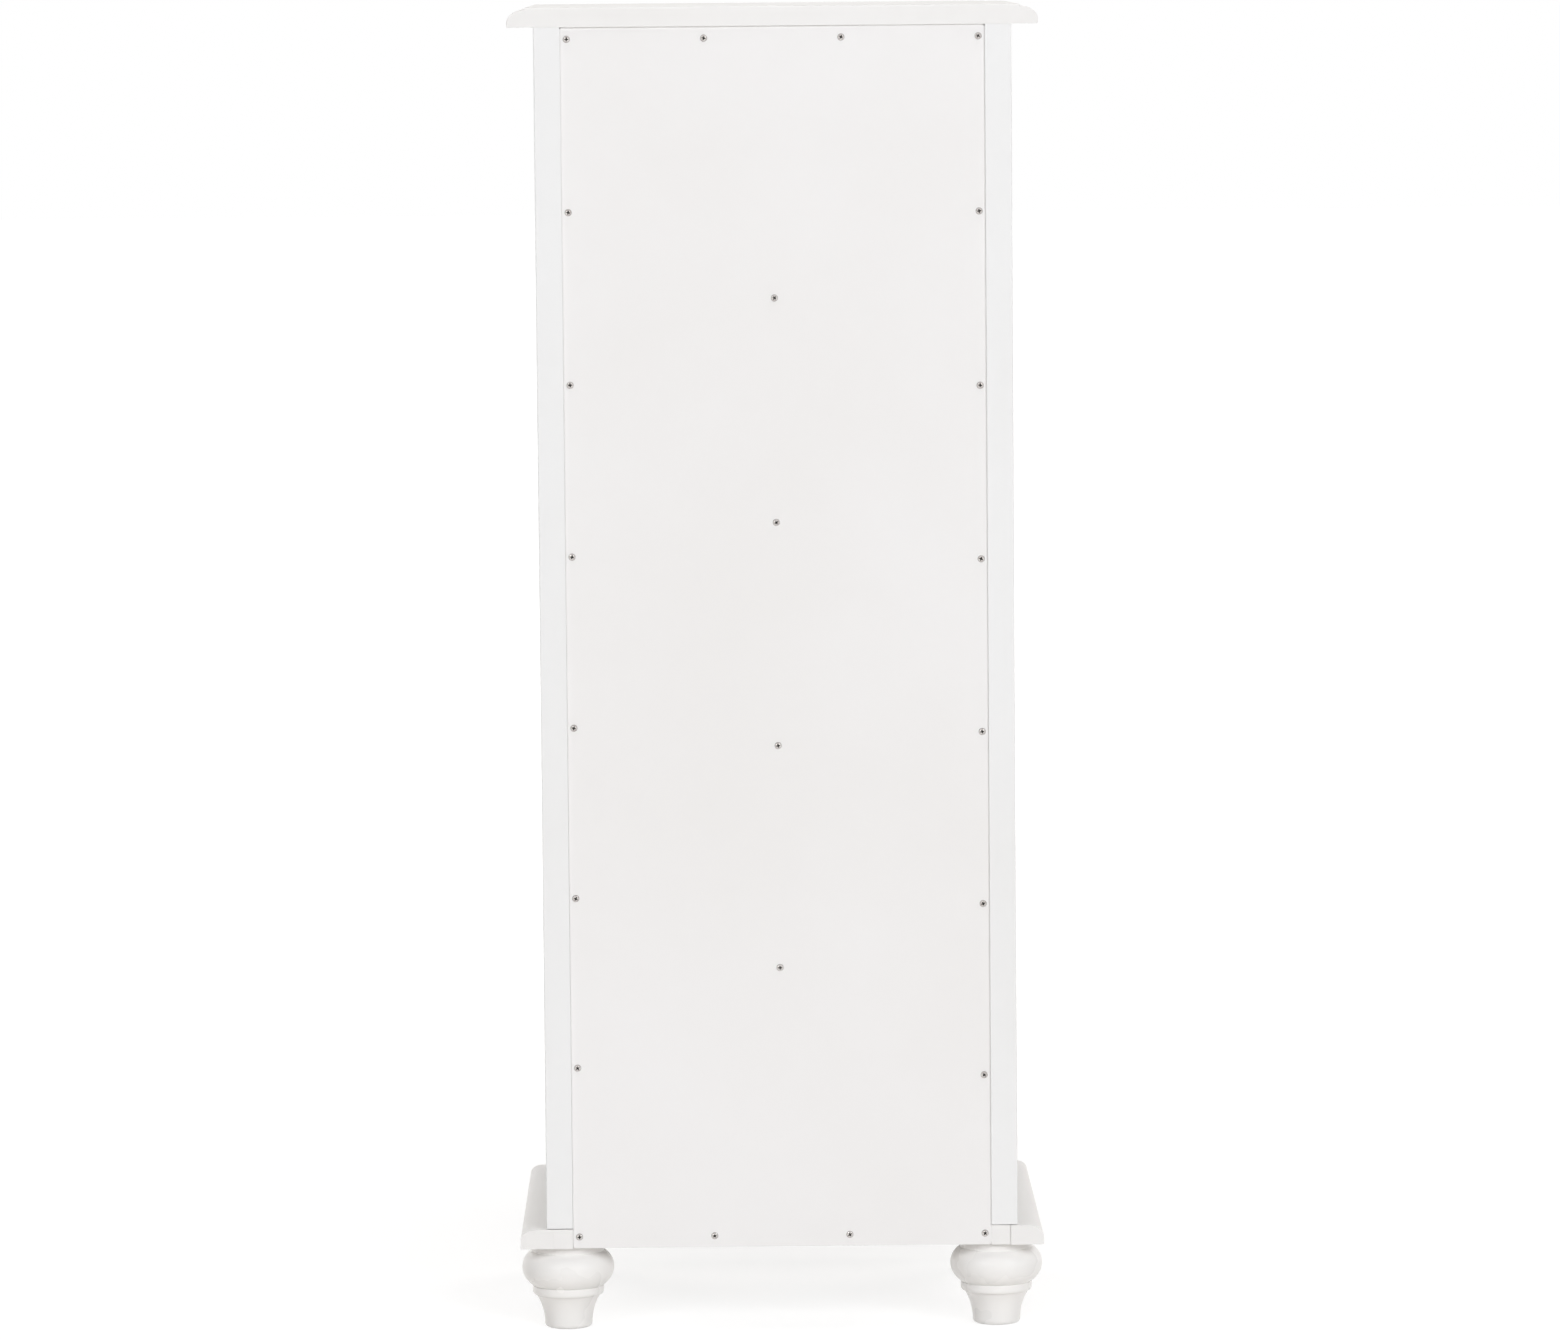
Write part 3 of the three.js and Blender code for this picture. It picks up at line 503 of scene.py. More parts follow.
SIDES = ("left", "right")
rails = ["rear_top_rail", "top_front_rail", "bottom_front_rail"]
rails += [f"divider_{n}" for n in range(1, len(DRAWERS))]
break_arrises([f"side_panel_{side}" for side in SIDES], paint["z"], radius=0.5 * MM)
break_arrises(rails, paint["x"], radius=0.6 * MM)
break_arrises([f"runner_{n + 1}" for n in range(len(DRAWERS))], runner_wood, radius=0.8 * MM)
for drawer in DRAWERS:
    break_arrises([f"{drawer}_side_{side}" for side in SIDES], side_wood, radius=1.2 * MM)
    break_arrises([f"{drawer}_back"], back_wood, radius=1.2 * MM)
    break_arrises([f"{drawer}_bottom"], bottom_ply, radius=0.4 * MM)
broken = [node for node in frame["nodes"].values() if len(node.modifiers) > 0]
print(len(broken), "boards have broken arrises")

# %% [markdown]
# ## Four corner posts
#
# A post is a square bar with a groove for the side panel, and behind it a rebate for the back
# panel. Its long arrises are the edges that a hand meets first, so they get a fuller rounding than
# the edges inside the groove and the rebate. Its ends are left almost sharp. The upper one reaches
# the top board, where a painted joint shows as a hairline, and a fine dark gap shows under the
# lower one.

# %% Posts with their grooves and rebates
ARRIS = 0.9 * MM
HAIRLINE = 0.04 * MM
JOINT_GAP = 0.3 * MM  # what the joinery leaves open between pieces that touch
SHADOW_GAP = 0.5 * MM  # more than that, under a post
POST_EASE, POST_INNER_EASE = 1.2, 0.8  # radii of a post's long edges, in millimetres
GROOVE_EASE, LEDGE_EASE, REBATE_EASE = 0.4, 0.3, 0.14
POST_ENDS = (0.1 * MM, 0.1 * MM)


def post_section(low, high, panel, groove_end, rebate):
    """Corners (x, y) of the right-hand post, and their radii.

    The groove lies astride the side panel, down to groove_end. The rebate of a rear post is given
    by the corner (x, y) of its ledge.
    """
    inner, outer = low.x, high.x
    grooved, plain = (low.y, high.y) if rebate else (high.y, low.y)
    left, right = panel[0].x - JOINT_GAP, panel[1].x + JOINT_GAP
    ledge = [((inner, plain), POST_EASE)]
    if rebate:
        ledge = [((rebate[0], plain), REBATE_EASE), (rebate, LEDGE_EASE)]
        ledge.append(((inner, rebate[1]), GROOVE_EASE))
    groove = ((left, grooved), (left, groove_end), (right, groove_end), (right, grooved))
    corners = [((outer, plain), POST_EASE), *ledge, ((inner, grooved), POST_INNER_EASE)]
    corners += [(corner, GROOVE_EASE) for corner in groove]
    points, radii = zip(*corners, ((outer, grooved), POST_EASE))
    return np.array(points), np.array(radii) * MM


back_low, back_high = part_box("back_panel")
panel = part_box("side_panel_right")
for end in ("front", "rear"):
    low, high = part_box(f"{end}_post_right")
    groove_end = panel[0].y - JOINT_GAP if end == "front" else panel[1].y + JOINT_GAP
    rebate = (back_high.x + JOINT_GAP, back_low.y) if end == "rear" else None
    corners, radii = post_section(low, high, panel, groove_end, rebate)
    for side, sign in (("left", -1), ("right", 1)):
        span = (low.z + SHADOW_GAP, high.z + JOINT_GAP - HAIRLINE)
        rings = bar_rings("z", corners * [sign, 1], span, radii, POST_ENDS)
        post = skin(f"{end}_corner_post_{side}", rings)
        dress(post, CASE, paint["z"], "white_paint", f"{end}_post_{side}")
print(f"posts: {(high.x - low.x) / MM:.1f} mm square, {(high.z - low.z) / MM:.0f} mm long")

# %% [markdown]
# ## The back panel
#
# One sheet closes the back. Nobody fits such a sheet dead square: it was pushed up and over until
# it nearly touched, so the gap around it is a hair above and at the sides, and a fine dark line
# below. The outline below has its own gap at each corner.

# %% The back panel, a hair out of square
PANEL_GAPS = {  # in millimetres, at the two ends of each side
    "top": (0.05, 0.02),
    "bottom": (0.2, 0.2),
    "left": (0.02, 0.03),
    "right": (0.02, 0.1),
}
SHEET_CORNER = 2.5 * MM
SHEET_ARRISES = (0.2 * MM, 0.15 * MM)  # of the inner and the outer face
grow = {side: (JOINT_GAP - np.array(gaps) * MM) for side, gaps in PANEL_GAPS.items()}
outline = np.array([
    (back_low.z - grow["bottom"][0], back_low.x - grow["left"][1]),
    (back_high.z + grow["top"][0], back_low.x - grow["left"][0]),
    (back_high.z + grow["top"][1], back_high.x + grow["right"][0]),
    (back_low.z - grow["bottom"][1], back_high.x + grow["right"][1]),
])
rings = bar_rings("y", outline, (back_low.y, back_high.y), SHEET_CORNER, SHEET_ARRISES)
dress(skin("back_sheet", rings), CASE, panel_paint, "panel_paint", "back_panel")
print(f"back: {(back_high.x - back_low.x) / MM:.1f} by {(back_high.z - back_low.z) / MM:.1f} mm")

# %% [markdown]
# ## The top
#
# A rounding cutter ran along the front and both sides of the top, and the rear was sawn plain,
# where it stands against a wall. Carrying the cutter's profile round the board's plan gives the
# mitred corners as well: each height is a ring, the plan inset by what the cutter took off there.

# %% The moulded top board
REAR_ARRIS = 1.5 * MM
MOULDING_WIDTH = 16.5 * MM
TOP_LIP = 4.5 * MM
TOP_STEP = 1 * MM
TOP_FILLET = 2 * MM
TOP_HOLLOW, TOP_CROWN, TOP_CORNER = 0.2 * MM, 0.6 * MM, 2 * MM


def top_profile(thickness):
    """Pairs of cut and height, from the underside up: lip, quarter ellipse, step and fillet."""
    shoulder = thickness - TOP_FILLET
    lip = arc((ARRIS, ARRIS), (-ARRIS, -ARRIS), 90, 0, 4)
    ovolo = arc((MOULDING_WIDTH, TOP_LIP), (-MOULDING_WIDTH, shoulder - TOP_LIP), 0, 90, 20)
    edge = MOULDING_WIDTH + TOP_STEP
    hollow = [[edge - TOP_HOLLOW, shoulder], [edge, shoulder + TOP_HOLLOW]]
    crown = arc((edge + TOP_CROWN, thickness - TOP_CROWN), (-TOP_CROWN, TOP_CROWN), 0, 90, 4)
    return np.concatenate([lip, ovolo, hollow, crown])


def top_plan(low, high, cut, rear):
    """The board from above, cut back in front, at the sides and behind, with rounded corners."""
    x, front, back, corner = high.x - cut, low.y + cut, high.y - rear, TOP_CORNER
    return np.concatenate([
        arc((-x + corner, front + corner), (corner, corner), 180, 270, 5),
        arc((x - corner, front + corner), (corner, corner), 270, 360, 5),
        arc((x - ARRIS, back - ARRIS), (ARRIS, ARRIS), 0, 90, 3),
        arc((-x + ARRIS, back - ARRIS), (ARRIS, ARRIS), 90, 180, 3),
    ])


low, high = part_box("top_board")
cuts, heights = top_profile(high.z - low.z).T
depth = np.clip(1 - (heights[-1] - heights) / REAR_ARRIS, 0, 1)
rears = REAR_ARRIS * (1 - np.sqrt(1 - depth**2))  # the rear's upper edge is only rounded over
plans = [top_plan(low, high, cut, rear) for cut, rear in zip(cuts, rears)]
rings = np.array([laid("z", plan, low.z + height) for plan, height in zip(plans, heights)])
dress(skin("moulded_top", rings), CASE, warm_shade_paint["x"], "white_paint", "top_board")
print(f"top: {len(rings)} rings, {(high.x - low.x) / MM:.0f} by {(high.y - low.y) / MM:.0f} mm")

# %% [markdown]
# ## The base mouldings
#
# Three strips frame the base. They share the top's rounding over a taller lip, but end in plain
# sawn ends behind, where the strips stand past the base board. In front they meet in mitres, which
# are made by sliding each point of the end ring along by its distance from the outer edge.

# %% The mitred strips
BASE_LIP = 8 * MM
STRIP_JOINT = 0.12 * MM  # the radius of the edges that meet the base board
STRIP_ENDS = (0.08 * MM, 0.08 * MM)


def base_section(thickness, width):
    """Pairs of distance in from the outer edge and height: a lip, then a quarter ellipse."""
    ovolo = arc((MOULDING_WIDTH, BASE_LIP), (-MOULDING_WIDTH, thickness - BASE_LIP), 0, 90, 20)
    return np.concatenate([[[width, 0], [0, 0]], ovolo, [[width, thickness]]])


low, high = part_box("base_moulding_front")
section = base_section(high.z - low.z, high.y - low.y + JOINT_GAP - HAIRLINE)
radii = np.full(len(section), ARRIS)
radii[[0, -1]] = STRIP_JOINT
rings = bar_rings("x", section + [low.y, low.z], (low.x, high.x), radii, STRIP_ENDS)
rings[:END_RINGS, :, 0] += rings[:END_RINGS, :, 1] - low.y
rings[END_RINGS:, :, 0] -= rings[END_RINGS:, :, 1] - low.y
strip = skin("base_strip_front", rings)
dress(strip, CASE, warm_shade_paint["x"], "white_paint", "base_moulding_front")
for side, sign in (("left", -1), ("right", 1)):
    low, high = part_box(f"base_moulding_{side}")
    outer = max(abs(low.x), abs(high.x))
    outline = np.column_stack([section[:, 1] + low.z, sign * (outer - section[:, 0])])
    rings = bar_rings("y", outline, (low.y, high.y), radii, STRIP_ENDS)
    rings[:END_RINGS, :, 1] += outer - np.abs(rings[:END_RINGS, :, 0])
    strip = skin(f"base_strip_{side}", rings)
    dress(strip, CASE, warm_shade_paint["y"], "white_paint", f"base_moulding_{side}")
wide, thick = section.max(axis=0) / MM
print(f"base: strips {wide:.1f} mm wide and {thick:.1f} mm thick")

# %% [markdown]
# ## The base board
#
# The board between the strips is notched for the back panel, so two ears run on beside the panel's
# lower corners. It was sawn a little out of square: the right ear ends flush with its strip, and
# the left one falls back to the panel's face.

# %% A notched board
BOARD_EASE, BOARD_ENDS = 0.15 * MM, (0.08 * MM, 0.08 * MM)
low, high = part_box("base_board")
ear, notch = back_high.x + JOINT_GAP, back_low.y - JOINT_GAP
outline = np.array([(low.x, low.y), (high.x, low.y), (high.x, high.y), (ear, high.y),
                    (ear, notch), (-ear, notch), (-ear, back_high.y), (low.x, back_high.y)])
rings = bar_rings("z", outline, (low.z, high.z), BOARD_EASE, BOARD_ENDS)
dress(skin("notched_base_board", rings), CASE, warm_shade_paint["x"], "white_paint", "base_board")
wide, short = (high.x - ear) / MM, (high.y - back_high.y) / MM
print(f"the ears are {wide:.1f} mm wide, and the left one is {short:.1f} mm short")

# %% [markdown]
# ## The turned feet
#
# Each foot is one turning: a small eased toe, a hollow ankle that widens upwards, a ring, a full
# bun, and a neck that carries the base. The curves are arcs that meet as the chisel left them, with
# a crisp quirk above and below the ring. A bolt holds it to the base board.

# %% The profile of a foot
TOE_RADIUS, TOE_EASE = 23.3, 4
ANKLE_HEIGHT, ANKLE_CURVE = 32.3, 52
RING_STEP, RING_SWELL, RING_EASE, RING_HEIGHT, RING_CREST = 0.6, 2.6, 4, 8.6, 0.5
WAIST_STEP, BUN_SWELL, BUN_RISE = 0.7, 10.1, 18.1
BELLY_REACH, SHOULDER_REACH, SHOULDER_RISE, NECK_INSET = 30, 18.6, 16.2, 9.5
BOLT_RADIUS, BOLT_LENGTH = 4, 13.05


def bun_arc(widest, reach, end, steps=20):
    """The bun from its widest point to the end, as an elliptic arc.

    Its centre is level with the widest point, and `reach` inside it.
    """
    angle = math.acos(1 - (widest[0] - end[0]) / reach)
    radii = (reach, (end[1] - widest[1]) / math.sin(angle))
    return arc((widest[0] - reach, widest[1]), radii, 0, math.degrees(angle), steps)


def foot_profile(height):
    """Radius and height from the floor up: toe, ankle, ring, bun, neck and bolt, in millimetres."""
    sweep = math.asin((ANKLE_HEIGHT - TOE_EASE) / ANKLE_CURVE)
    ring = TOE_RADIUS + ANKLE_CURVE * (1 - math.cos(sweep)) + RING_STEP + RING_SWELL
    ring_top = ANKLE_HEIGHT + RING_HEIGHT
    widest = (ring + BUN_SWELL, ring_top + BUN_RISE)
    neck = (widest[0] - NECK_INSET, widest[1] + SHOULDER_RISE)
    hollow, hollow_end = (TOE_RADIUS + ANKLE_CURVE, TOE_EASE), 180 - math.degrees(sweep)
    bolt_tip = height + BOLT_LENGTH
    return np.concatenate([
        [[0, 0]],
        arc((TOE_RADIUS - TOE_EASE, TOE_EASE), (TOE_EASE, TOE_EASE), -90, 0, 8),
        arc(hollow, (ANKLE_CURVE, ANKLE_CURVE), 180, hollow_end, 16)[1:],
        arc((ring - RING_SWELL, ANKLE_HEIGHT + RING_EASE), (RING_SWELL, RING_EASE), -90, 0, 8),
        arc((ring - RING_CREST, ring_top - RING_CREST), (RING_CREST, RING_CREST), 0, 80, 3),
        bun_arc(widest, BELLY_REACH, (ring - WAIST_STEP, ring_top))[::-1],
        bun_arc(widest, SHOULDER_REACH, neck)[1:],
        [[neck[0], height], [BOLT_RADIUS, height], [BOLT_RADIUS, bolt_tip], [0, bolt_tip]],
    ]) * MM


# %% Four feet
for place in ("front_left", "front_right", "rear_left", "rear_right"):
    low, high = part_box(f"foot_{place}")
    middle = (low + high) / 2
    profile = foot_profile((high.z - low.z) / MM - BOLT_LENGTH)
    foot = turned(f"turned_foot_{place}", profile, (middle.x, middle.y, low.z), segments=128)
    # the feet's paint is lighter than the case's: painted light
    dress(foot, CASE, lightened_turned_paint, "white_paint", f"foot_{place}")
tall, wide = profile[-1, 1] / MM - BOLT_LENGTH, 2 * profile[:, 0].max() / MM
print(f"feet: {tall:.1f} mm tall, {wide:.0f} mm wide")

# %% [markdown]
# ## The drawer fronts
#
# A front is a slab with a lip all round that covers the edge of its opening. Stacking rounded
# rectangles from the inside out gives the body, the step out to the lip, the lip's edge and the
# quarter ellipse that the cutter left around its face.

# %% Five lipped fronts
LIP_EDGE_WIDTH = 6.5 * MM
LIP_EDGE_DEPTH = 5.5 * MM
LIP_THICKNESS = 10 * MM
LIP_ARRIS = 0.5 * MM
FRONT_HEADROOM = 3 * MM
FRONT_CORNER = 1.6 * MM


def rounded_rectangle(first, opposite, cut):
    """A rectangle given by two opposite corners, inset by the cut and with its corners rounded."""
    corners = [first, (opposite[0], first[1]), opposite, (first[0], opposite[1])]
    return eased(inset(np.array(corners), cut), FRONT_CORNER, 5)


def front_rings(low, high, body_low, body_high):
    """Rounded rectangles along -y, each with its cut and its place.

    The face's edge at the angle a is inset by width * (1 - cos a), at depth * (1 - sin a) behind
    the face. The body's rear arris is cut down in two flats, which meet at a fifth of its size.
    """
    a = np.radians(np.linspace(0, 90, 16))
    lip_back, flat = low.y + LIP_THICKNESS, 0.2 * ARRIS
    body = [(ARRIS, high.y), (flat, high.y - flat), (0, high.y - ARRIS), (0, lip_back)]
    lip = [(LIP_ARRIS, lip_back), (0, lip_back - LIP_ARRIS)]
    cuts, depths = LIP_EDGE_WIDTH * (1 - np.cos(a)), LIP_EDGE_DEPTH * (1 - np.sin(a))
    face = np.column_stack([cuts, low.y + depths])
    stack = [(body_low, body_high, *ring) for ring in body]
    stack += [((low.z, low.x), (high.z, high.x), *ring) for ring in (*lip, *face)]
    return np.array([laid("y", rounded_rectangle(*pair, cut), y) for *pair, cut, y in stack])


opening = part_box("front_post_right")[0].x
for drawer in DRAWERS:
    low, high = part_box(f"{drawer}_front")
    side_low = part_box(f"{drawer}_side_right")[0]
    half, lip_overlap = side_low.x - JOINT_GAP, high.x - opening
    top = high.z - lip_overlap - FRONT_HEADROOM
    slab = skin(f"{drawer}_lipped_front", front_rings(low, high, (side_low.z, -half), (top, half)))
    dress(slab, drawer, paint["x"], "white_paint", f"{drawer}_front")
print(f"{len(DRAWERS)} fronts, with a lip of {lip_overlap / MM:.1f} mm over the case")

# %% [markdown]
# ## The knobs
#
# A knob is turned in one with its screw: a small foot, a hollow, a stem that flares, and a crown
# with the curve of a shallow dome.

# %% Five knobs
KNOB_FOOT_RADIUS, KNOB_FOOT_EDGE = 9, 1.5
KNOB_STEM_RADIUS, KNOB_STEM_LENGTH, KNOB_FLARE = 6, 6.5, 6
KNOB_RADIUS, KNOB_CROWN_HEIGHT = 16, 10
KNOB_SCREW_RADIUS, KNOB_HEAD_RADIUS, KNOB_HEAD_HEIGHT = 2, 4.2, 2.4
KNOB_FOOT_EASE, KNOB_HEAD_EASE = 0.3, 0.8


def knob_profile(inside):
    """Radius and height in millimetres, from the screw's head, `inside` the front, to the crown."""
    hollow = KNOB_FOOT_RADIUS - KNOB_STEM_RADIUS
    crown = KNOB_FOOT_EDGE + hollow + KNOB_STEM_LENGTH + KNOB_FLARE
    foot, head, head_end = KNOB_FOOT_EASE, KNOB_HEAD_EASE, -inside - KNOB_HEAD_HEIGHT
    return np.concatenate([
        [[0, head_end]],
        arc((KNOB_HEAD_RADIUS - head, head_end + head), (head, head), -90, 0, 5),
        [[KNOB_HEAD_RADIUS, -inside], [KNOB_SCREW_RADIUS, -inside], [KNOB_SCREW_RADIUS, 0]],
        arc((KNOB_FOOT_RADIUS - foot, foot), (foot, foot), -90, 0, 3),
        arc((KNOB_FOOT_RADIUS, KNOB_FOOT_EDGE + hollow), (-hollow, -hollow), 90, 0, 10),
        arc((KNOB_STEM_RADIUS, crown), (KNOB_RADIUS - KNOB_STEM_RADIUS, KNOB_FLARE), -90, 0, 14),
        arc((0, crown), (KNOB_RADIUS, KNOB_CROWN_HEIGHT), 0, 90, 24)[1:],
    ]) * MM


TO_THE_FRONT = Matrix.Rotation(math.radians(90), 3, "X")  # lays +z along -y
for drawer in DRAWERS:
    low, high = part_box(f"{drawer}_knob")
    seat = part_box(f"{drawer}_front")[0].y - JOINT_GAP
    origin = ((low.x + high.x) / 2, seat, (low.z + high.z) / 2)
    profile = knob_profile((high.y - seat) / MM - KNOB_HEAD_HEIGHT)
    knob = turned(f"{drawer}_turned_knob", profile, origin, TO_THE_FRONT)
    dress(knob, drawer, knob_nickel, "knob_nickel", f"{drawer}_knob")
print(f"knobs: {2 * profile[:, 0].max() / MM:.0f} mm across, {profile[-1, 1] / MM:.0f} mm proud")

# %% [markdown]
# ## The panel's screws
#
# Twenty-four pan-head screws hold the back panel: a row at each end, a column down each side, and
# one in the middle at each divider. A head is nearly a turning, but the cross recess breaks its
# symmetry. So its height is a function of radius and angle: a superellipse dome, less a pit whose
# walls rise smoothly at the edges of two crossed arms. No driver stops at the same angle twice, so
# every screw gets its own turn and a slight tilt, from a seeded generator.

# %% The shape of a screw
HEAD_RADIUS, HEAD_HEIGHT = 3.4, 1.9
RECESS_RADIUS, RECESS_DEPTH, ARM_HALF_WIDTH = 1.95, 1.35, 0.46
ARM_WALL, RIM_WALL = 0.24, 0.55  # how wide the recess's walls are, along its arms and at its rim
DOME_POWER = 2.2
UNDERCUT = 0.15
SHANK_RADIUS, SHANK_LENGTH = 1.7, 16
# the share of near black that paints shade over the head's rim
RIM_PAINTED_SHADE = 0.5


def smoothstep(share):
    """The share, held between 0 and 1, as share^2 * (3 - 2 * share)."""
    share = np.clip(share, 0, 1)
    return share**2 * (3 - 2 * share)


def recess_at(r, a):
    """The recess's depth as a share: smoothstep inside an arm, times smoothstep inside the rim."""
    off_arm = r * np.minimum(np.abs(np.sin(a)), np.abs(np.cos(a)))
    inside_arm = (ARM_HALF_WIDTH + ARM_WALL / 2 - off_arm) / ARM_WALL
    return smoothstep(inside_arm) * smoothstep((RECESS_RADIUS - r) / RIM_WALL)


def screw_rings():
    """Rings of a screw in millimetres, head up, and how much dirt and painted shade each point has.

    In the recess it is dirt and painted shade, the recess's share of its depth. Towards the rim it
    is painted shade, a square ramp over the head's outer quarter.
    """
    over_recess = np.linspace(0.12, 2.1, 20)
    to_the_rim = HEAD_RADIUS * np.sin(np.radians(np.linspace(42, 90, 12)))
    r = np.concatenate([over_recess, to_the_rim])[:, None]
    a = np.linspace(0, 2 * np.pi, 64, endpoint=False)
    dome = HEAD_HEIGHT * np.clip(1 - (r / HEAD_RADIUS) ** DOME_POWER, 0, 1) ** 0.5
    recess = recess_at(r, a)
    head = np.stack([r * np.cos(a), r * np.sin(a), dome - RECESS_DEPTH * recess], axis=-1)
    below = [[HEAD_RADIUS - UNDERCUT, 0], [SHANK_RADIUS, 0], [SHANK_RADIUS, -SHANK_LENGTH]]
    radius, height = np.array(below).T[:, :, None]
    shank = np.stack([radius * np.cos(a), radius * np.sin(a), height + 0 * a], axis=-1)
    # dirt and painted shade in the recess, painted shade over the rim
    dirt_and_shade = np.maximum(recess, RIM_PAINTED_SHADE * np.clip(r / HEAD_RADIUS / 0.25 - 3, 0, 1) ** 2)
    return np.concatenate([head, shank]), np.concatenate([dirt_and_shade, np.zeros((len(below), len(a)))])


rings, dirt_and_shade = screw_rings()
# the darkest quarter of the points, by their dirt and painted shade
dirt_and_shade_quartile = np.quantile(dirt_and_shade, 0.75)
print(f"a screw has {dirt_and_shade.size} points, a quarter of them dirtier than {dirt_and_shade_quartile:.2f}")

# %% Where the screws go
SCREW_MARGIN = 11 * MM
END_ROW, SIDE_COLUMN = 4, 8  # screws in each, with those at the corners
SIDE_DRIFT = 1.7 * MM  # by which the left column's gaps are wider, all but the lowest
BACK_EDGE_GAP = 0.3 * MM
REBATE_WIDTH = 12.7 * MM
BELOW_DIVIDER = 3 * MM


def screw_places(low, high):
    """Pairs of x and z: even rows and columns over the rebates, and one screw at each divider."""
    column, top = high.x + BACK_EDGE_GAP - REBATE_WIDTH / 2, high.z - SCREW_MARGIN
    across = np.linspace(-column, column, END_ROW)
    pitch = (high.z - low.z - 2 * SCREW_MARGIN) / (SIDE_COLUMN - 1)
    rows = np.arange(1, SIDE_COLUMN - 1)
    boxes = [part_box(f"divider_{n}") for n in range(1, len(DRAWERS))]
    dividers = np.array([(under.z + over.z) / 2 for under, over in boxes])
    groups = [
        (across, top),
        (across, low.z + SCREW_MARGIN),
        (-column, top - rows * (pitch + SIDE_DRIFT)),
        (column, top - rows * pitch),
        (0, dividers - BELOW_DIVIDER),
    ]
    return np.concatenate([np.column_stack(np.broadcast_arrays(x, z)) for x, z in groups])


low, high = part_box("back_panel")
places = screw_places(low, high)
print(f"{len(places)} screws, {abs(places[0, 0] - places[1, 0]) / MM:.1f} mm apart along the top")

# %% Twenty-four screws
POINT_LENGTH = 2 * MM
TILT, QUARTER_TURN = 0.8, 90  # degrees: the spread of the tilt, and the widest turn
SEED = 24
hand = np.random.default_rng(SEED)
TO_THE_REAR = Matrix.Rotation(math.radians(-90), 3, "X")  # lays +z along +y
for number, (x, z) in enumerate(places, start=1):
    angles = [*hand.normal(0, TILT, 2), hand.uniform(0, QUARTER_TURN)]
    tilt = Euler(np.radians(angles)).to_matrix()
    placed = (rings * MM) @ np.array(TO_THE_REAR @ tilt).T + [x, high.y, z]
    middle, point = placed[0].mean(axis=0), placed[-1].mean(axis=0) - [0, POINT_LENGTH, 0]
    screw = skin(f"panel_screw_{number:02d}", placed, middle, point)
    # each point's dirt and painted shade, which the zinc material reads
    share = screw.data.attributes.new("dirt_and_shade", "FLOAT", "POINT")
    share.data.foreach_set("value", np.concatenate([dirt_and_shade.ravel(), [1.0, 0.0]]))
    dress(screw, CASE, screw_zinc, None)
set_in = (cad_high.y - high.y) / MM
print(f"the heads stand {HEAD_HEIGHT} mm proud of the panel, which is set in by {set_in:.1f} mm")

# %% [markdown]
# ## Floor and light
#
# The chest stands in a white room with soft light from all round. The world gives the object a
# faint warm light, but shows itself to the camera, and to gloss and glass, as plain white. The
# floor does the same: it throws pale light back at the object, but those rays see a fainter matt
# surface with a steady glow. The glow grows with the distance, so the floor fades into the white
# and keeps the soft shadow that the lamps cast. Under the chest's front it is dimmed a little more:
# a painted shadow, where the shadow of the lamps behind the chest falls.


# %% The room
def seen_rays(tree):
    """1 for a ray from the camera, a reflection or a refraction, 0 for light on the object."""
    path = put(tree, "LightPath", "Is Camera Ray").node.outputs
    glossy, through = path["Is Glossy Ray"], path["Is Transmission Ray"]
    largest = {"operation": "MAXIMUM"}
    mirror = put(tree, "Math", "Value", largest, _0=glossy, _1=through)
    return put(tree, "Math", "Value", largest, _0=path["Is Camera Ray"], _1=mirror)


AMBIENT, AMBIENT_COLOUR = 0.14, (1, 0.99, 0.978, 1)
world = bpy.data.worlds.new("white room")
bpy.context.scene.world = world
world.use_nodes = True
tree = world.node_tree
tree.nodes.clear()
soft = put(tree, "Background", "Background", Color=AMBIENT_COLOUR, Strength=AMBIENT)
white = put(tree, "Background", "Background", Color=(1, 1, 1, 1), Strength=1.0)
room = put(tree, "MixShader", "Shader", _0=seen_rays(tree), _1=soft, _2=white)
tree.links.new(room, tree.nodes.new("ShaderNodeOutputWorld").inputs["Surface"])
print(f"a room with an ambient light of {AMBIENT}")

# %% The floor
FLOOR_WHITE, FAINT_GREY = (0.92, 0.90, 0.875, 1), (0.36, 0.36, 0.36, 1)
FLOOR_REACH = 30.0  # metres to each side
GLOW = {"From_Min": 1.0, "From_Max": 3.5, "To_Min": 0.755, "To_Max": 1.0}  # metres, then level
# a painted shadow: the glow is dimmed by up to 0.08 round a point under the chest's front
PAINTED_SHADOW = {"From_Min": 0.0, "From_Max": 0.45, "To_Min": 0.08, "To_Max": 0.0}
PAINTED_SHADOW_MIDDLE = (0.0, -0.4, 0.0)
floor_finish, tree, shader = new_finish("pale_floor", Base_Color=FLOOR_WHITE, Roughness=0.9)
shader.inputs["Specular IOR Level"].default_value = 0.0
place = put(tree, "TexCoord", "Object")
away = put(tree, "VectorMath", "Value", {"operation": "LENGTH"}, _0=place)
distant = put(tree, "MapRange", "Result", Value=away, **GLOW)
distance_to_painted_shadow = put(tree, "VectorMath", "Value", {"operation": "DISTANCE"}, _0=place, _1=PAINTED_SHADOW_MIDDLE)
smooth = {"interpolation_type": "SMOOTHSTEP"}
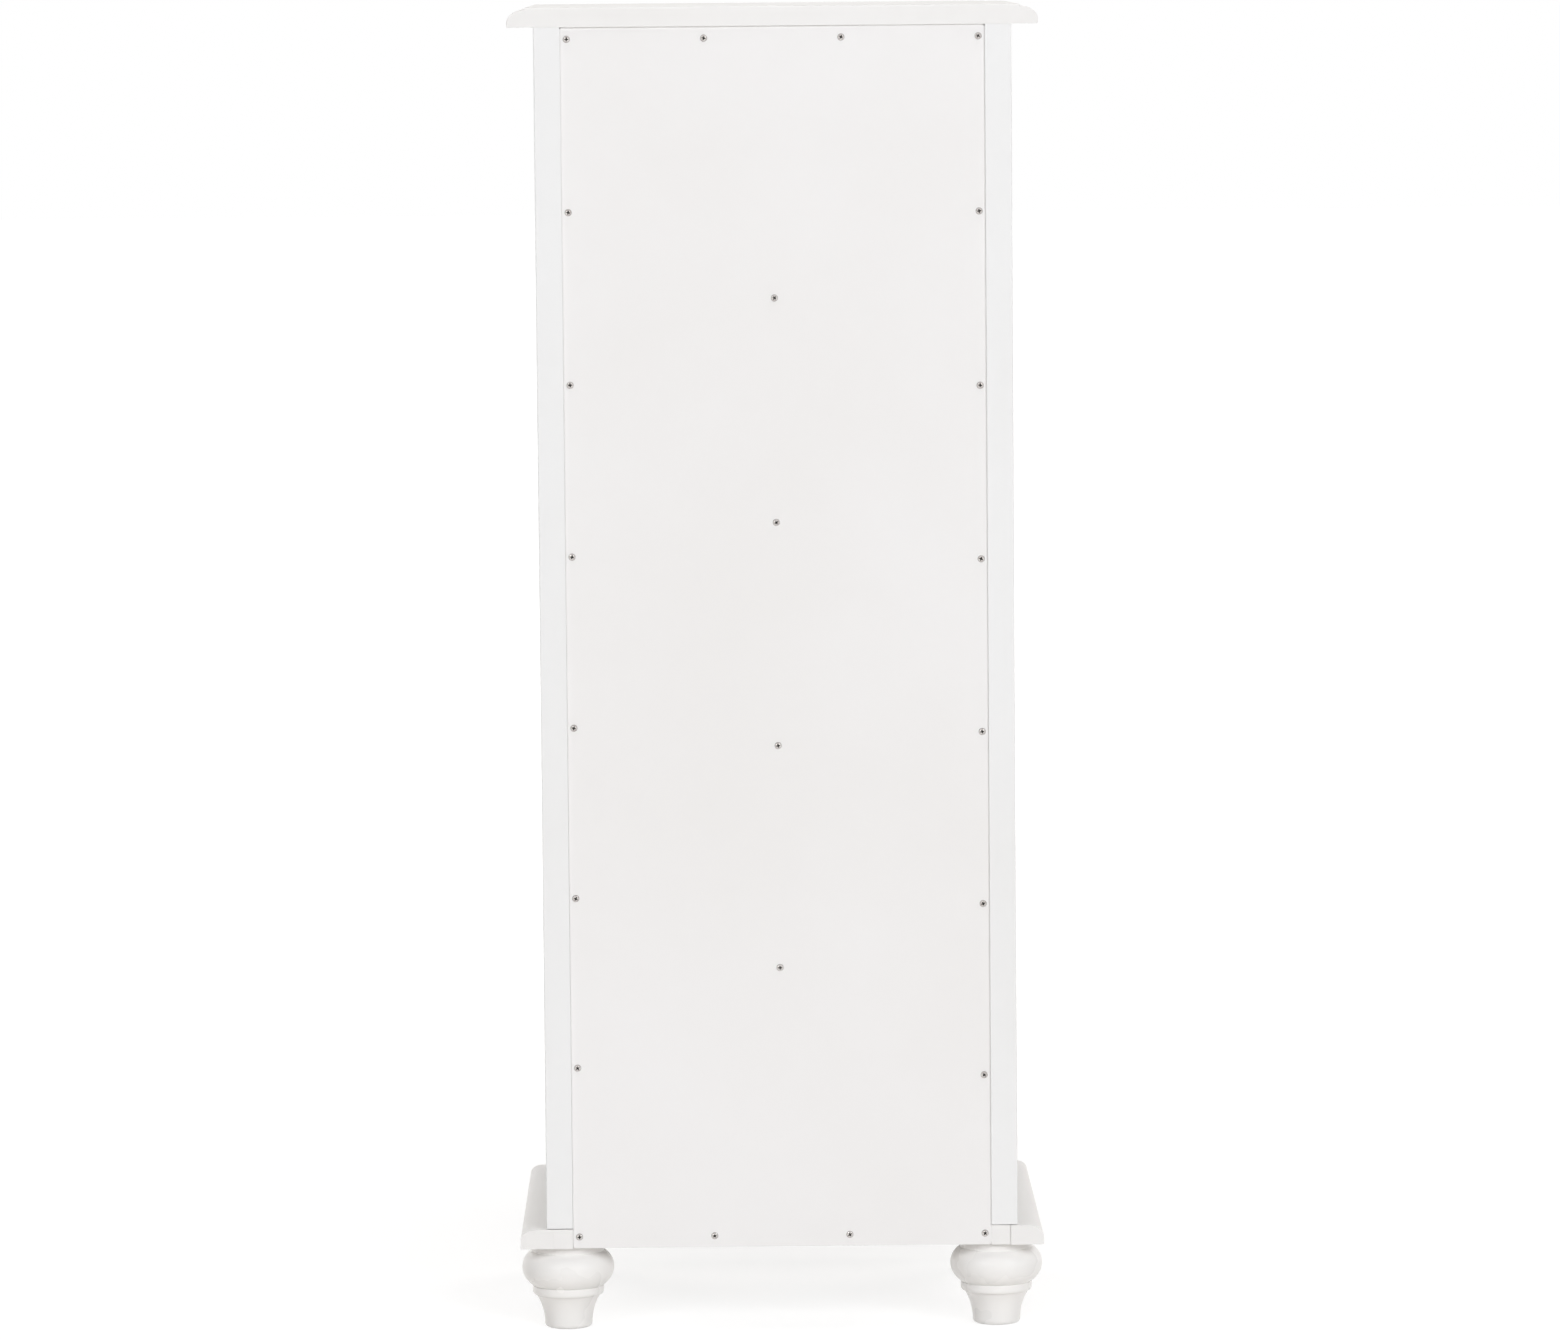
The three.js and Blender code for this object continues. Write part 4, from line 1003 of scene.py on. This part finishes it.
# the painted shadow: how much the glow is dimmed here
shade = put(tree, "MapRange", "Result", smooth, Value=distance_to_painted_shadow, **PAINTED_SHADOW)
strength = put(tree, "Math", "Value", {"operation": "SUBTRACT"}, _0=distant, _1=shade)
faint = put(tree, "BsdfDiffuse", "BSDF", Color=FAINT_GREY)
glow = put(tree, "Emission", "Emission", Color=(1, 1, 1, 1), Strength=strength)
shown = put(tree, "AddShader", "Shader", _0=faint, _1=glow)
both = put(tree, "MixShader", "Shader", _0=seen_rays(tree), _1=shader.outputs["BSDF"], _2=shown)
tree.links.new(both, tree.nodes["Material Output"].inputs["Surface"])

corners = FLOOR_REACH * np.array([(-1, -1, 0), (1, -1, 0), (1, 1, 0), (-1, 1, 0)])
mesh = bpy.data.meshes.new("floor")
mesh.from_pydata(corners.tolist(), [], [(0, 1, 2, 3)])
mesh.materials.append(floor_finish)
floor = bpy.data.objects.new("floor", mesh)
bpy.context.scene.collection.objects.link(floor)
floor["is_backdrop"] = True
print(f"a floor {2 * FLOOR_REACH:.0f} m wide")

# %% [markdown]
# Five large square lamps share the work. Two stand far behind the chest and light its back, the
# right one harder. One hangs overhead and two light the front, and these three are a little warmer,
# which gives the mouldings a creamy shade. Gloss doesn't see the five, or they would burn white
# patches into the top and the rims of the buns. It sees two small ones instead, which only gloss
# can see, and which give the screws and the buns their glints.

# %% The lamps
COOL, WARM = (0.978, 0.99, 1.01), (1.0, 0.966, 0.93)
LAMPS = {  # place in metres, size in metres, level and colour
    "rear right": ((-7.6, 13.2, 7.1), 6.3, 0.468, COOL),
    "rear left": ((7.0, 13.4, 7.1), 6.3, 0.265, COOL),
    "overhead": ((0.0, 0.3, 5.0), 3.0, 0.34, WARM),
    "front right": ((-5.2, -6.2, 2.2), 4.0, 0.4, WARM),
    "front left": ((5.2, -6.2, 2.2), 4.0, 0.42, WARM),
}
GLINTS = {
    "glint right": ((-4.9, 6.9, 4.4), 1.1, 0.05, COOL),
    "glint left": ((4.9, 6.9, 4.4), 1.1, 0.05, COOL),
}
MIDDLE_OF_THE_CHEST = (0, 0, 0.6)


def square_lamp(name, place, size, level, colour, glint):
    """A square lamp that gives a white surface facing it the brightness `level`.

    Its power is level * (pi * distance)^2. Only gloss sees a glint, and only matt surfaces see
    the others.
    """
    light = bpy.data.lights.new(name, "AREA")
    away = Vector(place) - Vector(MIDDLE_OF_THE_CHEST)
    light.shape, light.size, light.color = "SQUARE", size, colour
    light.energy = level * math.pi**2 * away.length_squared
    lamp = bpy.data.objects.new(name, light)
    lamp.location = place
    lamp.rotation_euler = away.to_track_quat("Z", "Y").to_euler()
    lamp.visible_camera = False
    lamp.visible_glossy, lamp.visible_diffuse = glint, not glint
    bpy.context.scene.collection.objects.link(lamp)


for lamps, glint in ((LAMPS, False), (GLINTS, True)):
    for name, (place, size, level, colour) in lamps.items():
        square_lamp(name, place, size, level, colour, glint)
print(f"{len(LAMPS)} soft lamps and {len(GLINTS)} glints")

# %% [markdown]
# ## The camera
#
# The chest is seen from behind, from 7.2 m away and a little above its top, through a long lens. A
# camera looks down its own -z axis. It is first turned to look level along -y, then swung, tipped
# down and rolled by small angles.

# %% The camera
SENSOR, LENS = 36, 173.4  # millimetres
STAND = (0.053, 7.4143, 1.344)
SWING, TIP, ROLL = -0.440, 5.529, -0.484  # degrees
camera_data = bpy.data.cameras.new("camera")
camera_data.sensor_width, camera_data.lens = SENSOR, LENS
camera = bpy.data.objects.new("camera", camera_data)
camera.matrix_world = Matrix.Translation(STAND)
for angle, axis in ((180 + SWING, "Z"), (90 - TIP, "X"), (ROLL, "Z")):
    camera.matrix_world = camera.matrix_world @ Matrix.Rotation(math.radians(angle), 4, axis)
bpy.context.scene.collection.objects.link(camera)
bpy.context.scene.camera = camera
bpy.context.scene.view_settings.view_transform = "Standard"
print(f"a camera with a lens of {LENS} mm")

# %% The size, before and after
low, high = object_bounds()
print(f"joinery {(cad_high - cad_low) / MM}, finished piece {(high - low) / MM}")
